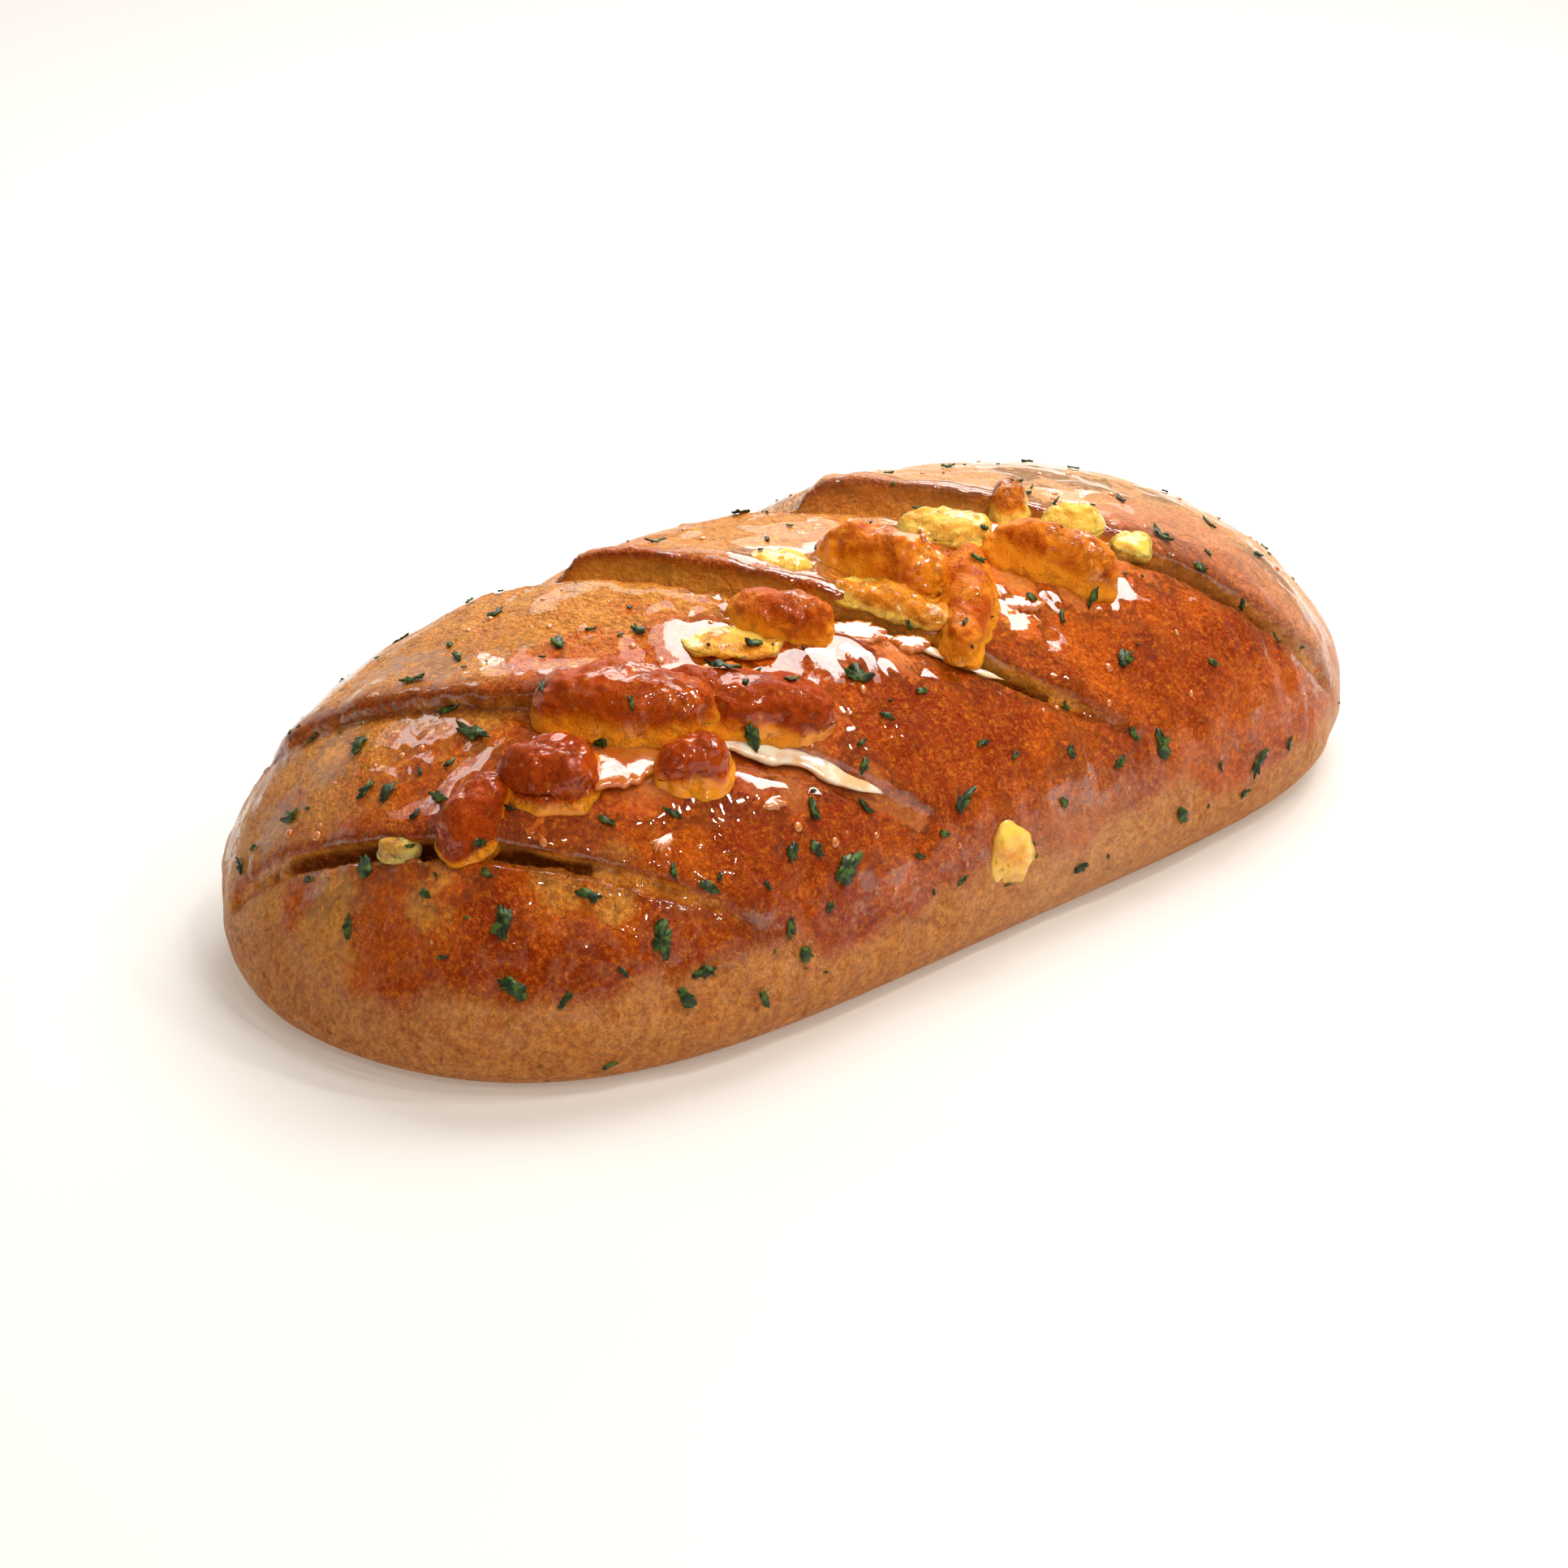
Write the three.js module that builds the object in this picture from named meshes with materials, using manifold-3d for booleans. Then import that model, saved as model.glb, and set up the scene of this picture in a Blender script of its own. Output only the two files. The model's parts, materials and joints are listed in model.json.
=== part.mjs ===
// Garlic baguette: a short, domed loaf with four slanting slashes, browned cheese melted onto its
// crest and into the slashes, one crumb of garlic, and chopped parsley stuck to the crust.
// Millimetres, +Z up. The loaf lies along X on its flat underside, with the origin under its middle.
import * as THREE from "three";
import { mergeVertices } from "three/addons/utils/BufferGeometryUtils.js";
import Module from "manifold-3d";

const wasm = await Module();
wasm.setup();

// ---------------------------------------------------------------- driving dimensions

const loafLength = 225;
const loafWidth = 110;
const loafHeight = 57;
const planPower = 4.6; // how blunt the ends are, seen from above
const risePower = 3.1; // how late the crest falls away towards the ends
const bellyHeight = 12.5; // where the loaf is widest, at its middle
const tuckUnder = 8; // how far the sides pull in between the belly and the underside
const crownPower = 2.2; // 2 would make the top a plain half ellipse
const heartHeight = 18; // the point that places on the crust are measured round
const clearance = 0.35; // gap between two pieces that touch

// The loaf's mesh: points round its outline, rings above the belly, and rings below it.
const roundPoints = 96;
const crownRings = 14;
const tuckRings = 4;

// The slashes, from the near end: [x, y] along the near lip, then the depth, and the opening where
// the cut begins at the back and where it runs out at the front.
const slashes = [
  { path: [[-108, 21], [-103, 1], [-92, -24], [-77, -43], [-60, -52.5]], depth: 9, back: 6, front: 2.2 },
  { path: [[-94, 38], [-84, 14], [-72, -9], [-50, -35], [-24, -51.5]], depth: 9, back: 4.4, front: 2 },
  { path: [[-60, 42], [-40, 14], [-19, -19], [0, -38], [24, -51.5]], depth: 12, back: 9, front: 2.6 },
  { path: [[-20, 44], [5, 12], [30, -13], [56, -34], [84, -46]], depth: 12, back: 11, front: 3.6 },
];
const slashStations = 26;
const acrossSlashes = new THREE.Vector3(0.7, 0.7, 0);
const earHeight = 2.4; // how far the crust is raised along the far lip of a cut
const slashLean = 0.3; // the foot of a cut lies this share of its depth back towards the near end

// Cheese, one entry for each piece: its middle in plan, its length, width and the height it stands
// above the crust, its turn about Z and its tilt downwards along its length. What would lie inside
// the crust is cut away, so each piece sits down on it, or in the slash below it.
const cheese = {
  cheese_stick_01: { at: [-89, -20], size: [15, 9, 5.5], turn: 12, tilt: -34, colour: "browned" },
  cheese_nub_02: { at: [-78, -24], size: [16, 13, 9], turn: -49, tilt: 0, colour: "browned" },
  cheese_nub_03: { at: [-59.5, -36], size: [12, 10.5, 8], turn: -30, tilt: 0, colour: "browned" },
  cheese_stick_04: { at: [-61, -22.5], size: [26, 14, 8.5], turn: -44, tilt: 3, colour: "browned" },
  cheese_stick_05: { at: [-43, -33], size: [24, 12, 7.5], turn: -38, tilt: 10, colour: "browned" },
  cheese_melt_06: { at: [-38, -21], size: [17, 12, 3], turn: -46, tilt: 4, colour: "melted" },
  cheese_nub_07: { at: [-28, -21.5], size: [16, 10, 6.5], turn: -50, tilt: 5, colour: "browned" },
  cheese_melt_08: { at: [-15.5, -11], size: [15, 9, 3], turn: -52, tilt: 4, colour: "melted" },
  cheese_stick_09: { at: [-2, -18], size: [22, 11, 8], turn: -60, tilt: 8, colour: "browned" },
  cheese_melt_10: { at: [-7, -25], size: [22, 8, 2], turn: -54, tilt: 12, colour: "melted" },
  cheese_bridge_11: { at: [5, -30.5], size: [28, 10.5, 7], turn: 42, tilt: -18, colour: "browned" },
  cheese_stick_12: { at: [18, -13], size: [16, 10, 4.5], turn: -46, tilt: 4, colour: "melted" },
  cheese_stick_13: { at: [28, -28], size: [23, 9.5, 7], turn: -42, tilt: 14, colour: "browned" },
  cheese_wedge_14: { at: [34, -12.5], size: [12, 7, 3.5], turn: 40, tilt: 0, colour: "browned" },
  cheese_melt_15: { at: [41.5, -20.5], size: [14, 8.5, 3], turn: -26, tilt: 6, colour: "melted" },
  cheese_melt_16: { at: [49, -29], size: [10, 7, 2.5], turn: -38, tilt: 10, colour: "melted" },
};
// The last bit of cheese ran out of a slash and set on the loaf's front side.
const sideCheese = { at: [-7.5, -53, 16.5], size: [14, 6.5, 15] };
const garlicCrumb = { at: [-97.5, -11], size: [5.5, 4, 2.2], turn: -50, tilt: 0, colour: "garlic" };

// Parsley: where each flake lies, as [x, angle round the loaf's heart from +Y over the top], and its
// length. Flakes lie on whatever is under them. The last three are on the back.
const parsley = [
  [-105, 8, 5], [-101, 43, 4], [-89, 68, 5], [-95, 88, 4], [-94, 100, 4], [-78, 72, 5], [-76, 90, 5],
  [-80, 106, 7], [-57, 66, 4], [-70, 75, 4], [-59, 95, 4], [-48, 105, 4], [-91, 119, 4], [-101, 124, 5],
  [-106, 157, 4], [-94, 164, 5], [-83, 162, 4], [-76, 173, 6], [-71, 180, 5], [-96, 178, 5], [-74, 184, 4],
  [-70, 132, 5], [-47, 128, 6], [-48, 143, 5], [-67, 166, 4], [-3, 67, 5], [-7, 102, 4], [-24, 140, 6],
  [-43, 171, 7], [-45, 160, 4], [-16, 168, 5], [27, 101, 6], [30, 140, 6], [29, 155, 5], [57, 131, 5],
  [30, 172, 5], [54, 183, 6], [33, 186, 4], [-60, 30, 4], [15, 45, 4], [70, 60, 4],
];
const flakeThickness = 0.5;
const flakeSides = 6;

const colours = {
  crust: { color: 0xb4571c, roughness: 0.3, metalness: 0 },
  browned: { color: 0xc4510f, roughness: 0.22, metalness: 0 },
  melted: { color: 0xe3a832, roughness: 0.25, metalness: 0 },
  garlic: { color: 0xe8c873, roughness: 0.4, metalness: 0 },
  parsley: { color: 0x3f6a2c, roughness: 0.5, metalness: 0 },
};

// ---------------------------------------------------------------- the loaf's plain surface

const towardsEnd = (x) => Math.min(1, Math.abs((2 * x) / loafLength));
const planHalfWidth = (x) => (loafWidth / 2) * Math.sqrt(1 - towardsEnd(x) ** planPower);
const rise = (x) => Math.sqrt(1 - towardsEnd(x) ** risePower);
const belly = (x) => (bellyHeight * (1 + rise(x))) / 2;

// Height of the upper crust over a point in plan.
function crustHeight(x, y) {
  const across = Math.min(1, Math.abs(y) / Math.max(planHalfWidth(x), 1e-6));
  const crest = Math.max(loafHeight * rise(x), belly(x));
  return belly(x) + (crest - belly(x)) * Math.sqrt(1 - across ** crownPower);
}

// Unit outward normal of the upper crust.
function crustNormal(x, y) {
  const step = 0.5;
  const slopeX = (crustHeight(x + step, y) - crustHeight(x - step, y)) / (2 * step);
  const slopeY = (crustHeight(x, y + step) - crustHeight(x, y - step)) / (2 * step);
  return new THREE.Vector3(-slopeX, -slopeY, 1).normalize();
}

// Points spaced evenly round the loaf's outline in plan, anticlockwise from its far end.
function outline() {
  const corner = 2000;
  const dense = Array.from({ length: corner }, (_, i) => {
    const turn = (i / corner) * 2 * Math.PI;
    const x = (loafLength / 2) * Math.sign(Math.cos(turn)) * Math.abs(Math.cos(turn)) ** (2 / planPower);
    return new THREE.Vector2(x, (loafWidth / 2) * Math.sin(turn));
  });
  const lengths = [0];
  dense.forEach((p, i) => lengths.push(lengths[i] + p.distanceTo(dense[(i + 1) % corner])));
  return Array.from({ length: roundPoints }, (_, k) => {
    const wanted = (k / roundPoints) * lengths[corner];
    const i = lengths.findLastIndex((length) => length <= wanted);
    const share = (wanted - lengths[i]) / (lengths[i + 1] - lengths[i]);
    return dense[i].clone().lerp(dense[(i + 1) % corner], share);
  });
}

// ---------------------------------------------------------------- solids

function solidFrom(geometry) {
  const bare = new THREE.BufferGeometry().setAttribute("position", geometry.getAttribute("position"));
  bare.setIndex(geometry.index);
  const merged = mergeVertices(bare, 1e-4);
  const solid = new wasm.Manifold(
    new wasm.Mesh({
      numProp: 3,
      vertProperties: new Float32Array(merged.getAttribute("position").array),
      triVerts: new Uint32Array(merged.index.array),
    }),
  );
  return solid;
}

function geometryFrom(solid) {
  const mesh = solid.getMesh();
  return new THREE.BufferGeometry()
    .setAttribute("position", new THREE.BufferAttribute(new Float32Array(mesh.vertProperties), 3))
    .setIndex(new THREE.BufferAttribute(new Uint32Array(mesh.triVerts), 1));
}

// What is left of a piece clear of the loaf and of the pieces before it, as its largest single body.
// The loaf is moved by the clearance, outwards and both ways across the slashes, and the other
// pieces are grown by it.
function clearOf(solid, outwards) {
  const { min, max } = solid.boundingBox();
  const span = [0, 1, 2].map((k) => max[k] - min[k] + 4 * clearance);
  const room = wasm.Manifold.cube(span).translate(min.map((v) => v - 2 * clearance));
  const crust = loaf.intersect(room);
  const moved = [outwards, acrossSlashes, acrossSlashes.clone().negate()].map((way) =>
    crust.translate(way.clone().multiplyScalar(clearance).toArray()),
  );
  const near = grown.filter((other) => {
    const box = other.boundingBox();
    return [0, 1, 2].every((k) => box.min[k] < max[k] && box.max[k] > min[k]);
  });
  const left = [...moved, ...near].reduce((rest, other) => rest.subtract(other), solid);
  return left.decompose().sort((a, b) => b.volume() - a.volume())[0];
}

// The uncut loaf: a rim on the underside, rings up its tucked-in sides, and rings over the crown.
function plainLoaf() {
  const edge = outline();
  const rings = [];
  for (let k = 0; k < tuckRings; k++) {
    const down = 1 - k / tuckRings;
    const inset = tuckUnder * (1 - Math.sqrt(1 - down * down));
    rings.push(
      edge.map((p, i) => {
        const before = edge[(i + roundPoints - 1) % roundPoints];
        const after = edge[(i + 1) % roundPoints];
        const outwards = new THREE.Vector2(after.y - before.y, before.x - after.x).normalize();
        const [x, y] = [p.x - outwards.x * inset, p.y - outwards.y * inset];
        return new THREE.Vector3(x, y, belly(p.x) * (1 - down));
      }),
    );
  }
  for (let k = 0; k < crownRings; k++) {
    const reach = Math.cos((k / crownRings) * (Math.PI / 2));
    const height = (p) => (k === 0 ? belly(p.x) : crustHeight(p.x * reach, p.y * reach));
    rings.push(edge.map((p) => new THREE.Vector3(p.x * reach, p.y * reach, height(p))));
  }
  return loft(rings, new THREE.Vector3(0, 0, crustHeight(0, 0)));
}

// Rings of one section carried along a slash. The section is given by its place along the cut, as
// pairs of how far across the cut, towards the far end, and how far out of the crust.
function alongSlash({ path }, section) {
  const curve = new THREE.CatmullRomCurve3(path.map(([x, y]) => new THREE.Vector3(x, y, 0)));
  return Array.from({ length: slashStations + 1 }, (_, i) => {
    const t = i / slashStations;
    const { x, y } = curve.getPointAt(t);
    const foot = new THREE.Vector3(x, y, crustHeight(x, y));
    const out = crustNormal(x, y);
    const across = new THREE.Vector3().crossVectors(out, curve.getTangentAt(t)).normalize();
    return section(t).map(([side, up]) => foot.clone().addScaledVector(across, side).addScaledVector(out, up));
  });
}

const endTaper = (t) => Math.sqrt(Math.sin(Math.PI * (0.012 + 0.976 * t)));
const opening = ({ back, front }, t) => THREE.MathUtils.lerp(back, front, t) * (0.4 + 0.6 * endTaper(t));

// What a slash takes away: a wedge, rounded off on the near lip and leaning back under it.
function slashWedge(slash) {
  const stands = 7; // how far the wedge reaches out above the crust
  return loft(
    alongSlash(slash, (t) => {
      const wide = opening(slash, t);
      const deep = slash.depth * endTaper(t);
      const lean = slashLean * deep;
      return [
        [wide + 1.5, stands], [wide, 0], [0.7 * wide - 0.3 * lean, -0.6 * deep], [-lean, -deep],
        [-0.1 * wide - 0.7 * lean, -0.7 * deep], [0, -1.6], [-3, 0.9], [-8, stands],
      ];
    }),
  );
}

// What a slash raises: an ear of crust along its far lip, which falls away to the next slash.
function slashEar(slash) {
  return loft(
    alongSlash(slash, (t) => {
      const wide = opening(slash, t);
      const height = earHeight * endTaper(t);
      const fall = [[wide + 11, -1.5], [wide + 7.5, 0], [wide + 2.5, 0.85 * height]];
      return [[wide - 1, -4], [wide + 11, -4], ...fall, [wide, height], [wide - 1, 0]];
    }),
  );
}

// A closed solid through rings of points, capped by a flat fan over the first ring, and over the
// last by a flat fan or by a fan to a point.
function loft(rings, tip) {
  const count = rings[0].length;
  const last = (rings.length - 1) * count;
  const points = tip ? [...rings.flat(), tip] : rings.flat();
  const faces = [];
  for (let i = 0; i + 1 < rings.length; i++)
    for (let k = 0; k < count; k++) {
      const a = i * count + k;
      const b = i * count + ((k + 1) % count);
      faces.push([a, b, b + count], [a, b + count, a + count]);
    }
  for (let k = 1; k + 1 < count; k++) faces.push([0, k + 1, k]);
  if (tip) for (let k = 0; k < count; k++) faces.push([last + k, last + ((k + 1) % count), last + count]);
  else for (let k = 1; k + 1 < count; k++) faces.push([last, last + k, last + k + 1]);
  const build = (flip) => {
    const geometry = new THREE.BufferGeometry().setFromPoints(points);
    geometry.setIndex(faces.flatMap(([a, b, c]) => (flip ? [a, c, b] : [a, b, c])));
    return solidFrom(geometry);
  };
  const solid = build(false);
  return solid.volume() > 0 ? solid : build(true);
}

// A lump with rounded corners: a sphere squared up a little and set to its length, width and height.
function lump([length, width, height]) {
  const squareness = 0.78;
  const geometry = new THREE.IcosahedronGeometry(1, 4);
  const position = geometry.getAttribute("position");
  const square = (v) => Math.sign(v) * Math.abs(v) ** squareness;
  for (let i = 0; i < position.count; i++) {
    const [x, y, z] = [position.getX(i), position.getY(i), position.getZ(i)];
    position.setXYZ(i, (square(x) * length) / 2, (square(y) * width) / 2, (square(z) * height) / 2);
  }
  return geometry;
}

// A mound of cheese: a lump twice as high as it stands, with its middle on the crust.
function mound({ at: [x, y], size: [length, width, stands], turn, tilt }, growth = 0) {
  const [down, round] = [THREE.MathUtils.degToRad(tilt), THREE.MathUtils.degToRad(turn)];
  const stance = new THREE.Matrix4().makeRotationFromEuler(new THREE.Euler(0, down, round, "ZYX"));
  const size = [length + growth, width + growth, 2 * stands + growth];
  return solidFrom(lump(size).applyMatrix4(stance).translate(x, y, crustHeight(x, y)));
}

// ---------------------------------------------------------------- the object

const group = new THREE.Group();
const grown = []; // each piece on the crust, larger by the clearance

function add(name, solid, finish) {
  const mesh = new THREE.Mesh(geometryFrom(solid), new THREE.MeshStandardMaterial(colours[finish]));
  mesh.name = name;
  group.add(mesh);
}

const raised = slashes.reduce((whole, slash) => whole.add(slashEar(slash)), plainLoaf());
const loaf = slashes.reduce((left, slash) => left.subtract(slashWedge(slash)), raised);
add("loaf", loaf, "crust");

for (const [name, piece] of Object.entries({ ...cheese, garlic_crumb: garlicCrumb })) {
  add(name, clearOf(mound(piece), crustNormal(...piece.at)), piece.colour);
  grown.push(mound(piece, 2 * clearance));
}
const ranOut = (growth) => solidFrom(lump(sideCheese.size.map((v) => v + growth)).translate(...sideCheese.at));
add("cheese_melt_17", clearOf(ranOut(0), new THREE.Vector3(0, -1, 0)), "melted");
grown.push(ranOut(2 * clearance));

// A flake is a thin plate on the tangent plane of whatever it lies on.
const lyingOn = group.children.slice();
const ray = new THREE.Raycaster();
parsley.forEach(([x, angle, length], i) => {
  const round = THREE.MathUtils.degToRad(angle);
  const outwards = new THREE.Vector3(0, Math.cos(round), Math.sin(round));
  const heart = new THREE.Vector3(x, 0, heartHeight);
  ray.set(heart.clone().addScaledVector(outwards, loafWidth), outwards.clone().negate());
  const [hit] = ray.intersectObjects(lyingOn, false);
  const { normal } = hit.face;
  const width = length * 0.6;
  const plate = new THREE.CylinderGeometry(width / 2, width / 2, flakeThickness, flakeSides);
  plate.rotateX(Math.PI / 2).scale(length / width, 1, 1).rotateZ(i * 2.4);
  plate.applyQuaternion(new THREE.Quaternion().setFromUnitVectors(new THREE.Vector3(0, 0, 1), normal));
  plate.translate(...hit.point.clone().addScaledVector(normal, clearance + flakeThickness / 2).toArray());
  add("parsley_" + String(i + 1).padStart(2, "0"), clearOf(solidFrom(plate), normal), "parsley");
});

// Brings the whole object over the origin: what stands out from the front shifts its middle a little.
const middle = new THREE.Box3().setFromObject(group).getCenter(new THREE.Vector3());
group.children.forEach((mesh) => mesh.geometry.translate(-middle.x, -middle.y, 0));

export default group;
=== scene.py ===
"""Garlic baguette: the look of the loaf, its cheese, garlic, butter and parsley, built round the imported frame."""

import json
import math

import bpy
import numpy as np
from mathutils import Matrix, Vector
from mathutils.bvhtree import BVHTree

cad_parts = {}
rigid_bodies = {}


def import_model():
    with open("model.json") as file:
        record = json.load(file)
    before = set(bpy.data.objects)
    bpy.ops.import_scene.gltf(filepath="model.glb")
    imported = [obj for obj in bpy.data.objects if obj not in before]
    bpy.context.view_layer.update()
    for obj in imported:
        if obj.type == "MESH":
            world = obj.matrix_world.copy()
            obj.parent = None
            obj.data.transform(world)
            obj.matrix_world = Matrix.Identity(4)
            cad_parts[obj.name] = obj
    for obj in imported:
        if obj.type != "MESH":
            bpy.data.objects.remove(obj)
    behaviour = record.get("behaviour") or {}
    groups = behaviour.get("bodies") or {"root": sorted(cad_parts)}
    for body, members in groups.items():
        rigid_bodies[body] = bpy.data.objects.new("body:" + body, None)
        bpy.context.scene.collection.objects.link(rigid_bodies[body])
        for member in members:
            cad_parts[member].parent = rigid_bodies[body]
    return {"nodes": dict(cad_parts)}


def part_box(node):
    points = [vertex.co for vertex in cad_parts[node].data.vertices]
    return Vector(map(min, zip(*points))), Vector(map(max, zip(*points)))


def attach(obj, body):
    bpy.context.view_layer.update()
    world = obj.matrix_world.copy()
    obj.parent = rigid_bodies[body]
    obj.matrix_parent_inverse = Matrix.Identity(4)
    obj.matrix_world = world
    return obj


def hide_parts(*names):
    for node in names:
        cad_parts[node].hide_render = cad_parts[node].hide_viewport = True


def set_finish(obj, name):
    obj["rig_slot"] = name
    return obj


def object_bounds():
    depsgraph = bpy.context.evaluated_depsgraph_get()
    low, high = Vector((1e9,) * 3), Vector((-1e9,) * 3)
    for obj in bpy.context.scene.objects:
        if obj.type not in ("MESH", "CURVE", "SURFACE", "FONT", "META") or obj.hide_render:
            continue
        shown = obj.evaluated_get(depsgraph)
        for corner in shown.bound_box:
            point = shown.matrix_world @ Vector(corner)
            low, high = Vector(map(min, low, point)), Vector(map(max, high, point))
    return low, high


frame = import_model()
cad_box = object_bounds()

bl_info = {
    "name": "Garlic Baguette",
    "version": (1, 0, 0),
    "blender": (4, 5, 0),
    "location": "View3D > Sidebar > Baguette",
    "description": "Builds a buttered garlic baguette with browned cheese and chopped parsley",
    "category": "Object",
}

MM = 0.001
LOAF_LOW, LOAF_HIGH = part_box("loaf")
LOAF_MIDDLE = (LOAF_LOW + LOAF_HIGH) / 2

# ------------------------------------------------------------------ the plain loaf, in millimetres

LENGTH = (LOAF_HIGH.x - LOAF_LOW.x) / MM
WIDTH = (LOAF_HIGH.y - LOAF_LOW.y) / MM
CREST = 57.0  # height of the uncut crust at the middle
PLAN_POWER = 4.6  # how blunt the ends are, seen from above
RISE_POWER = 3.1  # how late the crest falls away towards the ends
CROWN_POWER = 2.2  # 2 would make the top a plain half ellipse
BELLY = 12.5  # where the loaf is widest, at its middle
TUCK = 8.0  # how far the sides pull in between the belly and the underside
HEART = 18.0  # height that angles on the crust are measured round

# Each slash: [x, y] along its near lip, its depth, its opening at the back and at the front, how
# high its far lip stands, the y behind which the crust beyond it has sunk and by how much, how far
# the front of its near lip dips, how much butter has run along that lip, and how torn the lip is.
SLASHES = (
    {"path": ((-108, 21), (-103, 1), (-98, -13), (-91, -25), (-83, -37), (-70, -47), (-58, -53)),
     "depth": 7, "back": 4.0, "front": 2.4, "ear": 0.8, "sunk_behind": 60, "sinks": 0, "dip": 0.6, "butter": 0.5,
     "torn": 1.1, "browned": 0.2},
    {"path": ((-94, 38), (-84, 14), (-71, -12), (-57, -27), (-43, -41), (-24, -51)),
     "depth": 8, "back": 2.0, "front": 1.6, "ear": 2.6, "sunk_behind": 33, "sinks": 2, "dip": 2.8, "butter": 1.1,
     "torn": 0.6, "browned": 0.35},
    {"path": ((-60, 42), (-43, 16), (-35, 0), (-19, -22), (-9, -33), (6, -44), (24, -51.5)),
     "depth": 12, "back": 8, "front": 2.6, "ear": 3.8, "sunk_behind": 18, "sinks": 3.5, "dip": 1.2, "butter": 0.75,
     "torn": 0.6, "browned": 0.35},
    {"path": ((-20, 44), (-4, 18), (18, -4), (42, -29), (56, -37), (84, -47)),
     "depth": 10, "back": 10, "front": 3.6, "ear": 4.4, "sunk_behind": 11, "sinks": 9, "dip": 0.9, "butter": 0.6,
     "torn": 0.7, "browned": 0.95},
)
STATIONS = 160  # places along a slash
LEAN = 0.3  # a cut's foot lies this share of its depth back towards the near end


def towards_end(x):
    return np.clip(np.abs(2 * x / LENGTH), 0, 1)


def plan_half_width(x):
    return WIDTH / 2 * np.sqrt(1 - towards_end(x) ** PLAN_POWER)


def rise(x):
    return np.sqrt(1 - towards_end(x) ** RISE_POWER)


def belly(x):
    return BELLY * (1 + rise(x)) / 2


def crust_height(x, y):
    """Height of the plain upper crust over a point in plan."""
    across = np.clip(np.abs(y) / np.maximum(plan_half_width(x), 1e-6), 0, 1)
    crest = np.maximum(CREST * rise(x), belly(x))
    return belly(x) + (crest - belly(x)) * np.sqrt(1 - across**CROWN_POWER)


def crust_normal(x, y):
    step = 0.5
    slope_x = (crust_height(x + step, y) - crust_height(x - step, y)) / (2 * step)
    slope_y = (crust_height(x, y + step) - crust_height(x, y - step)) / (2 * step)
    return unit(np.stack([-slope_x, -slope_y, np.ones_like(slope_x)], -1))


def unit(vectors):
    return vectors / np.maximum(np.linalg.norm(vectors, axis=-1, keepdims=True), 1e-9)


def smooth(low, high, value):
    """0 below low, 1 above high, with an S between them; low may be above high."""
    share = np.clip((value - low) / (high - low), 0, 1)
    return share * share * (3 - 2 * share)


# ------------------------------------------------------------------ lumps and bumps, from seeded noise


def lattice(cells, seed):
    """A repeatable number from -1 to 1 for each whole-number cell."""
    x, y, z = (cells[..., k].astype(np.uint32) for k in range(3))
    h = x * np.uint32(374761393) + y * np.uint32(668265263) + z * np.uint32(2147483647 - 7)
    h = (h ^ (h >> np.uint32(13))) * np.uint32(1274126177) + np.uint32(seed * 101 + 7)
    h = (h ^ (h >> np.uint32(16))) * np.uint32(2246822519)
    return ((h >> np.uint32(8)) & np.uint32(65535)).astype(float) / 32767.5 - 1


def lumps(points, size, seed=0, octaves=2):
    """Smooth noise from about -1 to 1 at points in millimetres, with bumps of about size."""
    total = np.zeros(len(points))
    strength, reach = 1.0, 0.0
    for octave in range(octaves):
        scaled = points * (2**octave / size) + 1000.5 + 17 * octave
        cell = np.floor(scaled)
        f = scaled - cell
        f = f * f * (3 - 2 * f)
        value = np.zeros(len(points))
        for corner in range(8):
            step = np.array([corner & 1, corner >> 1 & 1, corner >> 2 & 1])
            weight = np.prod(np.where(step, f, 1 - f), axis=1)
            value += weight * lattice((cell + step).astype(np.int64), seed + octave)
        total += strength * value
        reach += strength
        strength *= 0.5
    return total / reach * 1.6


# ------------------------------------------------------------------ modelling helpers


def shaped_ball(name, around, rings, place):
    """A ball whose vertices are moved to place(down, turn): down runs from 0 at the top pole to 1 at
    the bottom one, and turn from 0 to 1 round it. place gives millimetres in the loaf's frame."""
    bpy.ops.object.select_all(action="DESELECT")
    bpy.ops.mesh.primitive_uv_sphere_add(segments=around, ring_count=rings, radius=1)
    piece = bpy.context.object
    piece.name = piece.data.name = name
    at = coordinates(piece)
    down = np.arccos(np.clip(at[:, 2], -1, 1)) / math.pi
    turn = (np.arctan2(at[:, 1], at[:, 0]) / (2 * math.pi)) % 1
    move_to(piece, place(down, turn))
    bpy.ops.object.mode_set(mode="EDIT")
    bpy.ops.mesh.select_all(action="SELECT")
    bpy.ops.mesh.normals_make_consistent(inside=False)
    bpy.ops.object.mode_set(mode="OBJECT")
    bpy.ops.object.shade_smooth()
    return piece


def coordinates(piece):
    at = np.empty(len(piece.data.vertices) * 3)
    piece.data.vertices.foreach_get("co", at)
    return at.reshape(-1, 3)


def loaf_frame(piece):
    """A piece's vertices in millimetres from the middle of the loaf's footprint."""
    at = coordinates(piece) / MM
    return at - np.array([LOAF_MIDDLE.x, LOAF_MIDDLE.y, 0]) / MM


def move_to(piece, at):
    """Puts a piece's vertices at places in millimetres from the middle of the loaf's footprint."""
    world = at * MM + np.array([LOAF_MIDDLE.x, LOAF_MIDDLE.y, 0])
    piece.data.vertices.foreach_set("co", world.astype(np.float32).ravel())
    piece.data.update()


def vertex_normals(piece):
    normals = np.empty(len(piece.data.vertices) * 3, np.float32)
    piece.data.vertex_normals.foreach_get("vector", normals)
    return normals.reshape(-1, 3).astype(float)


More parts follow.
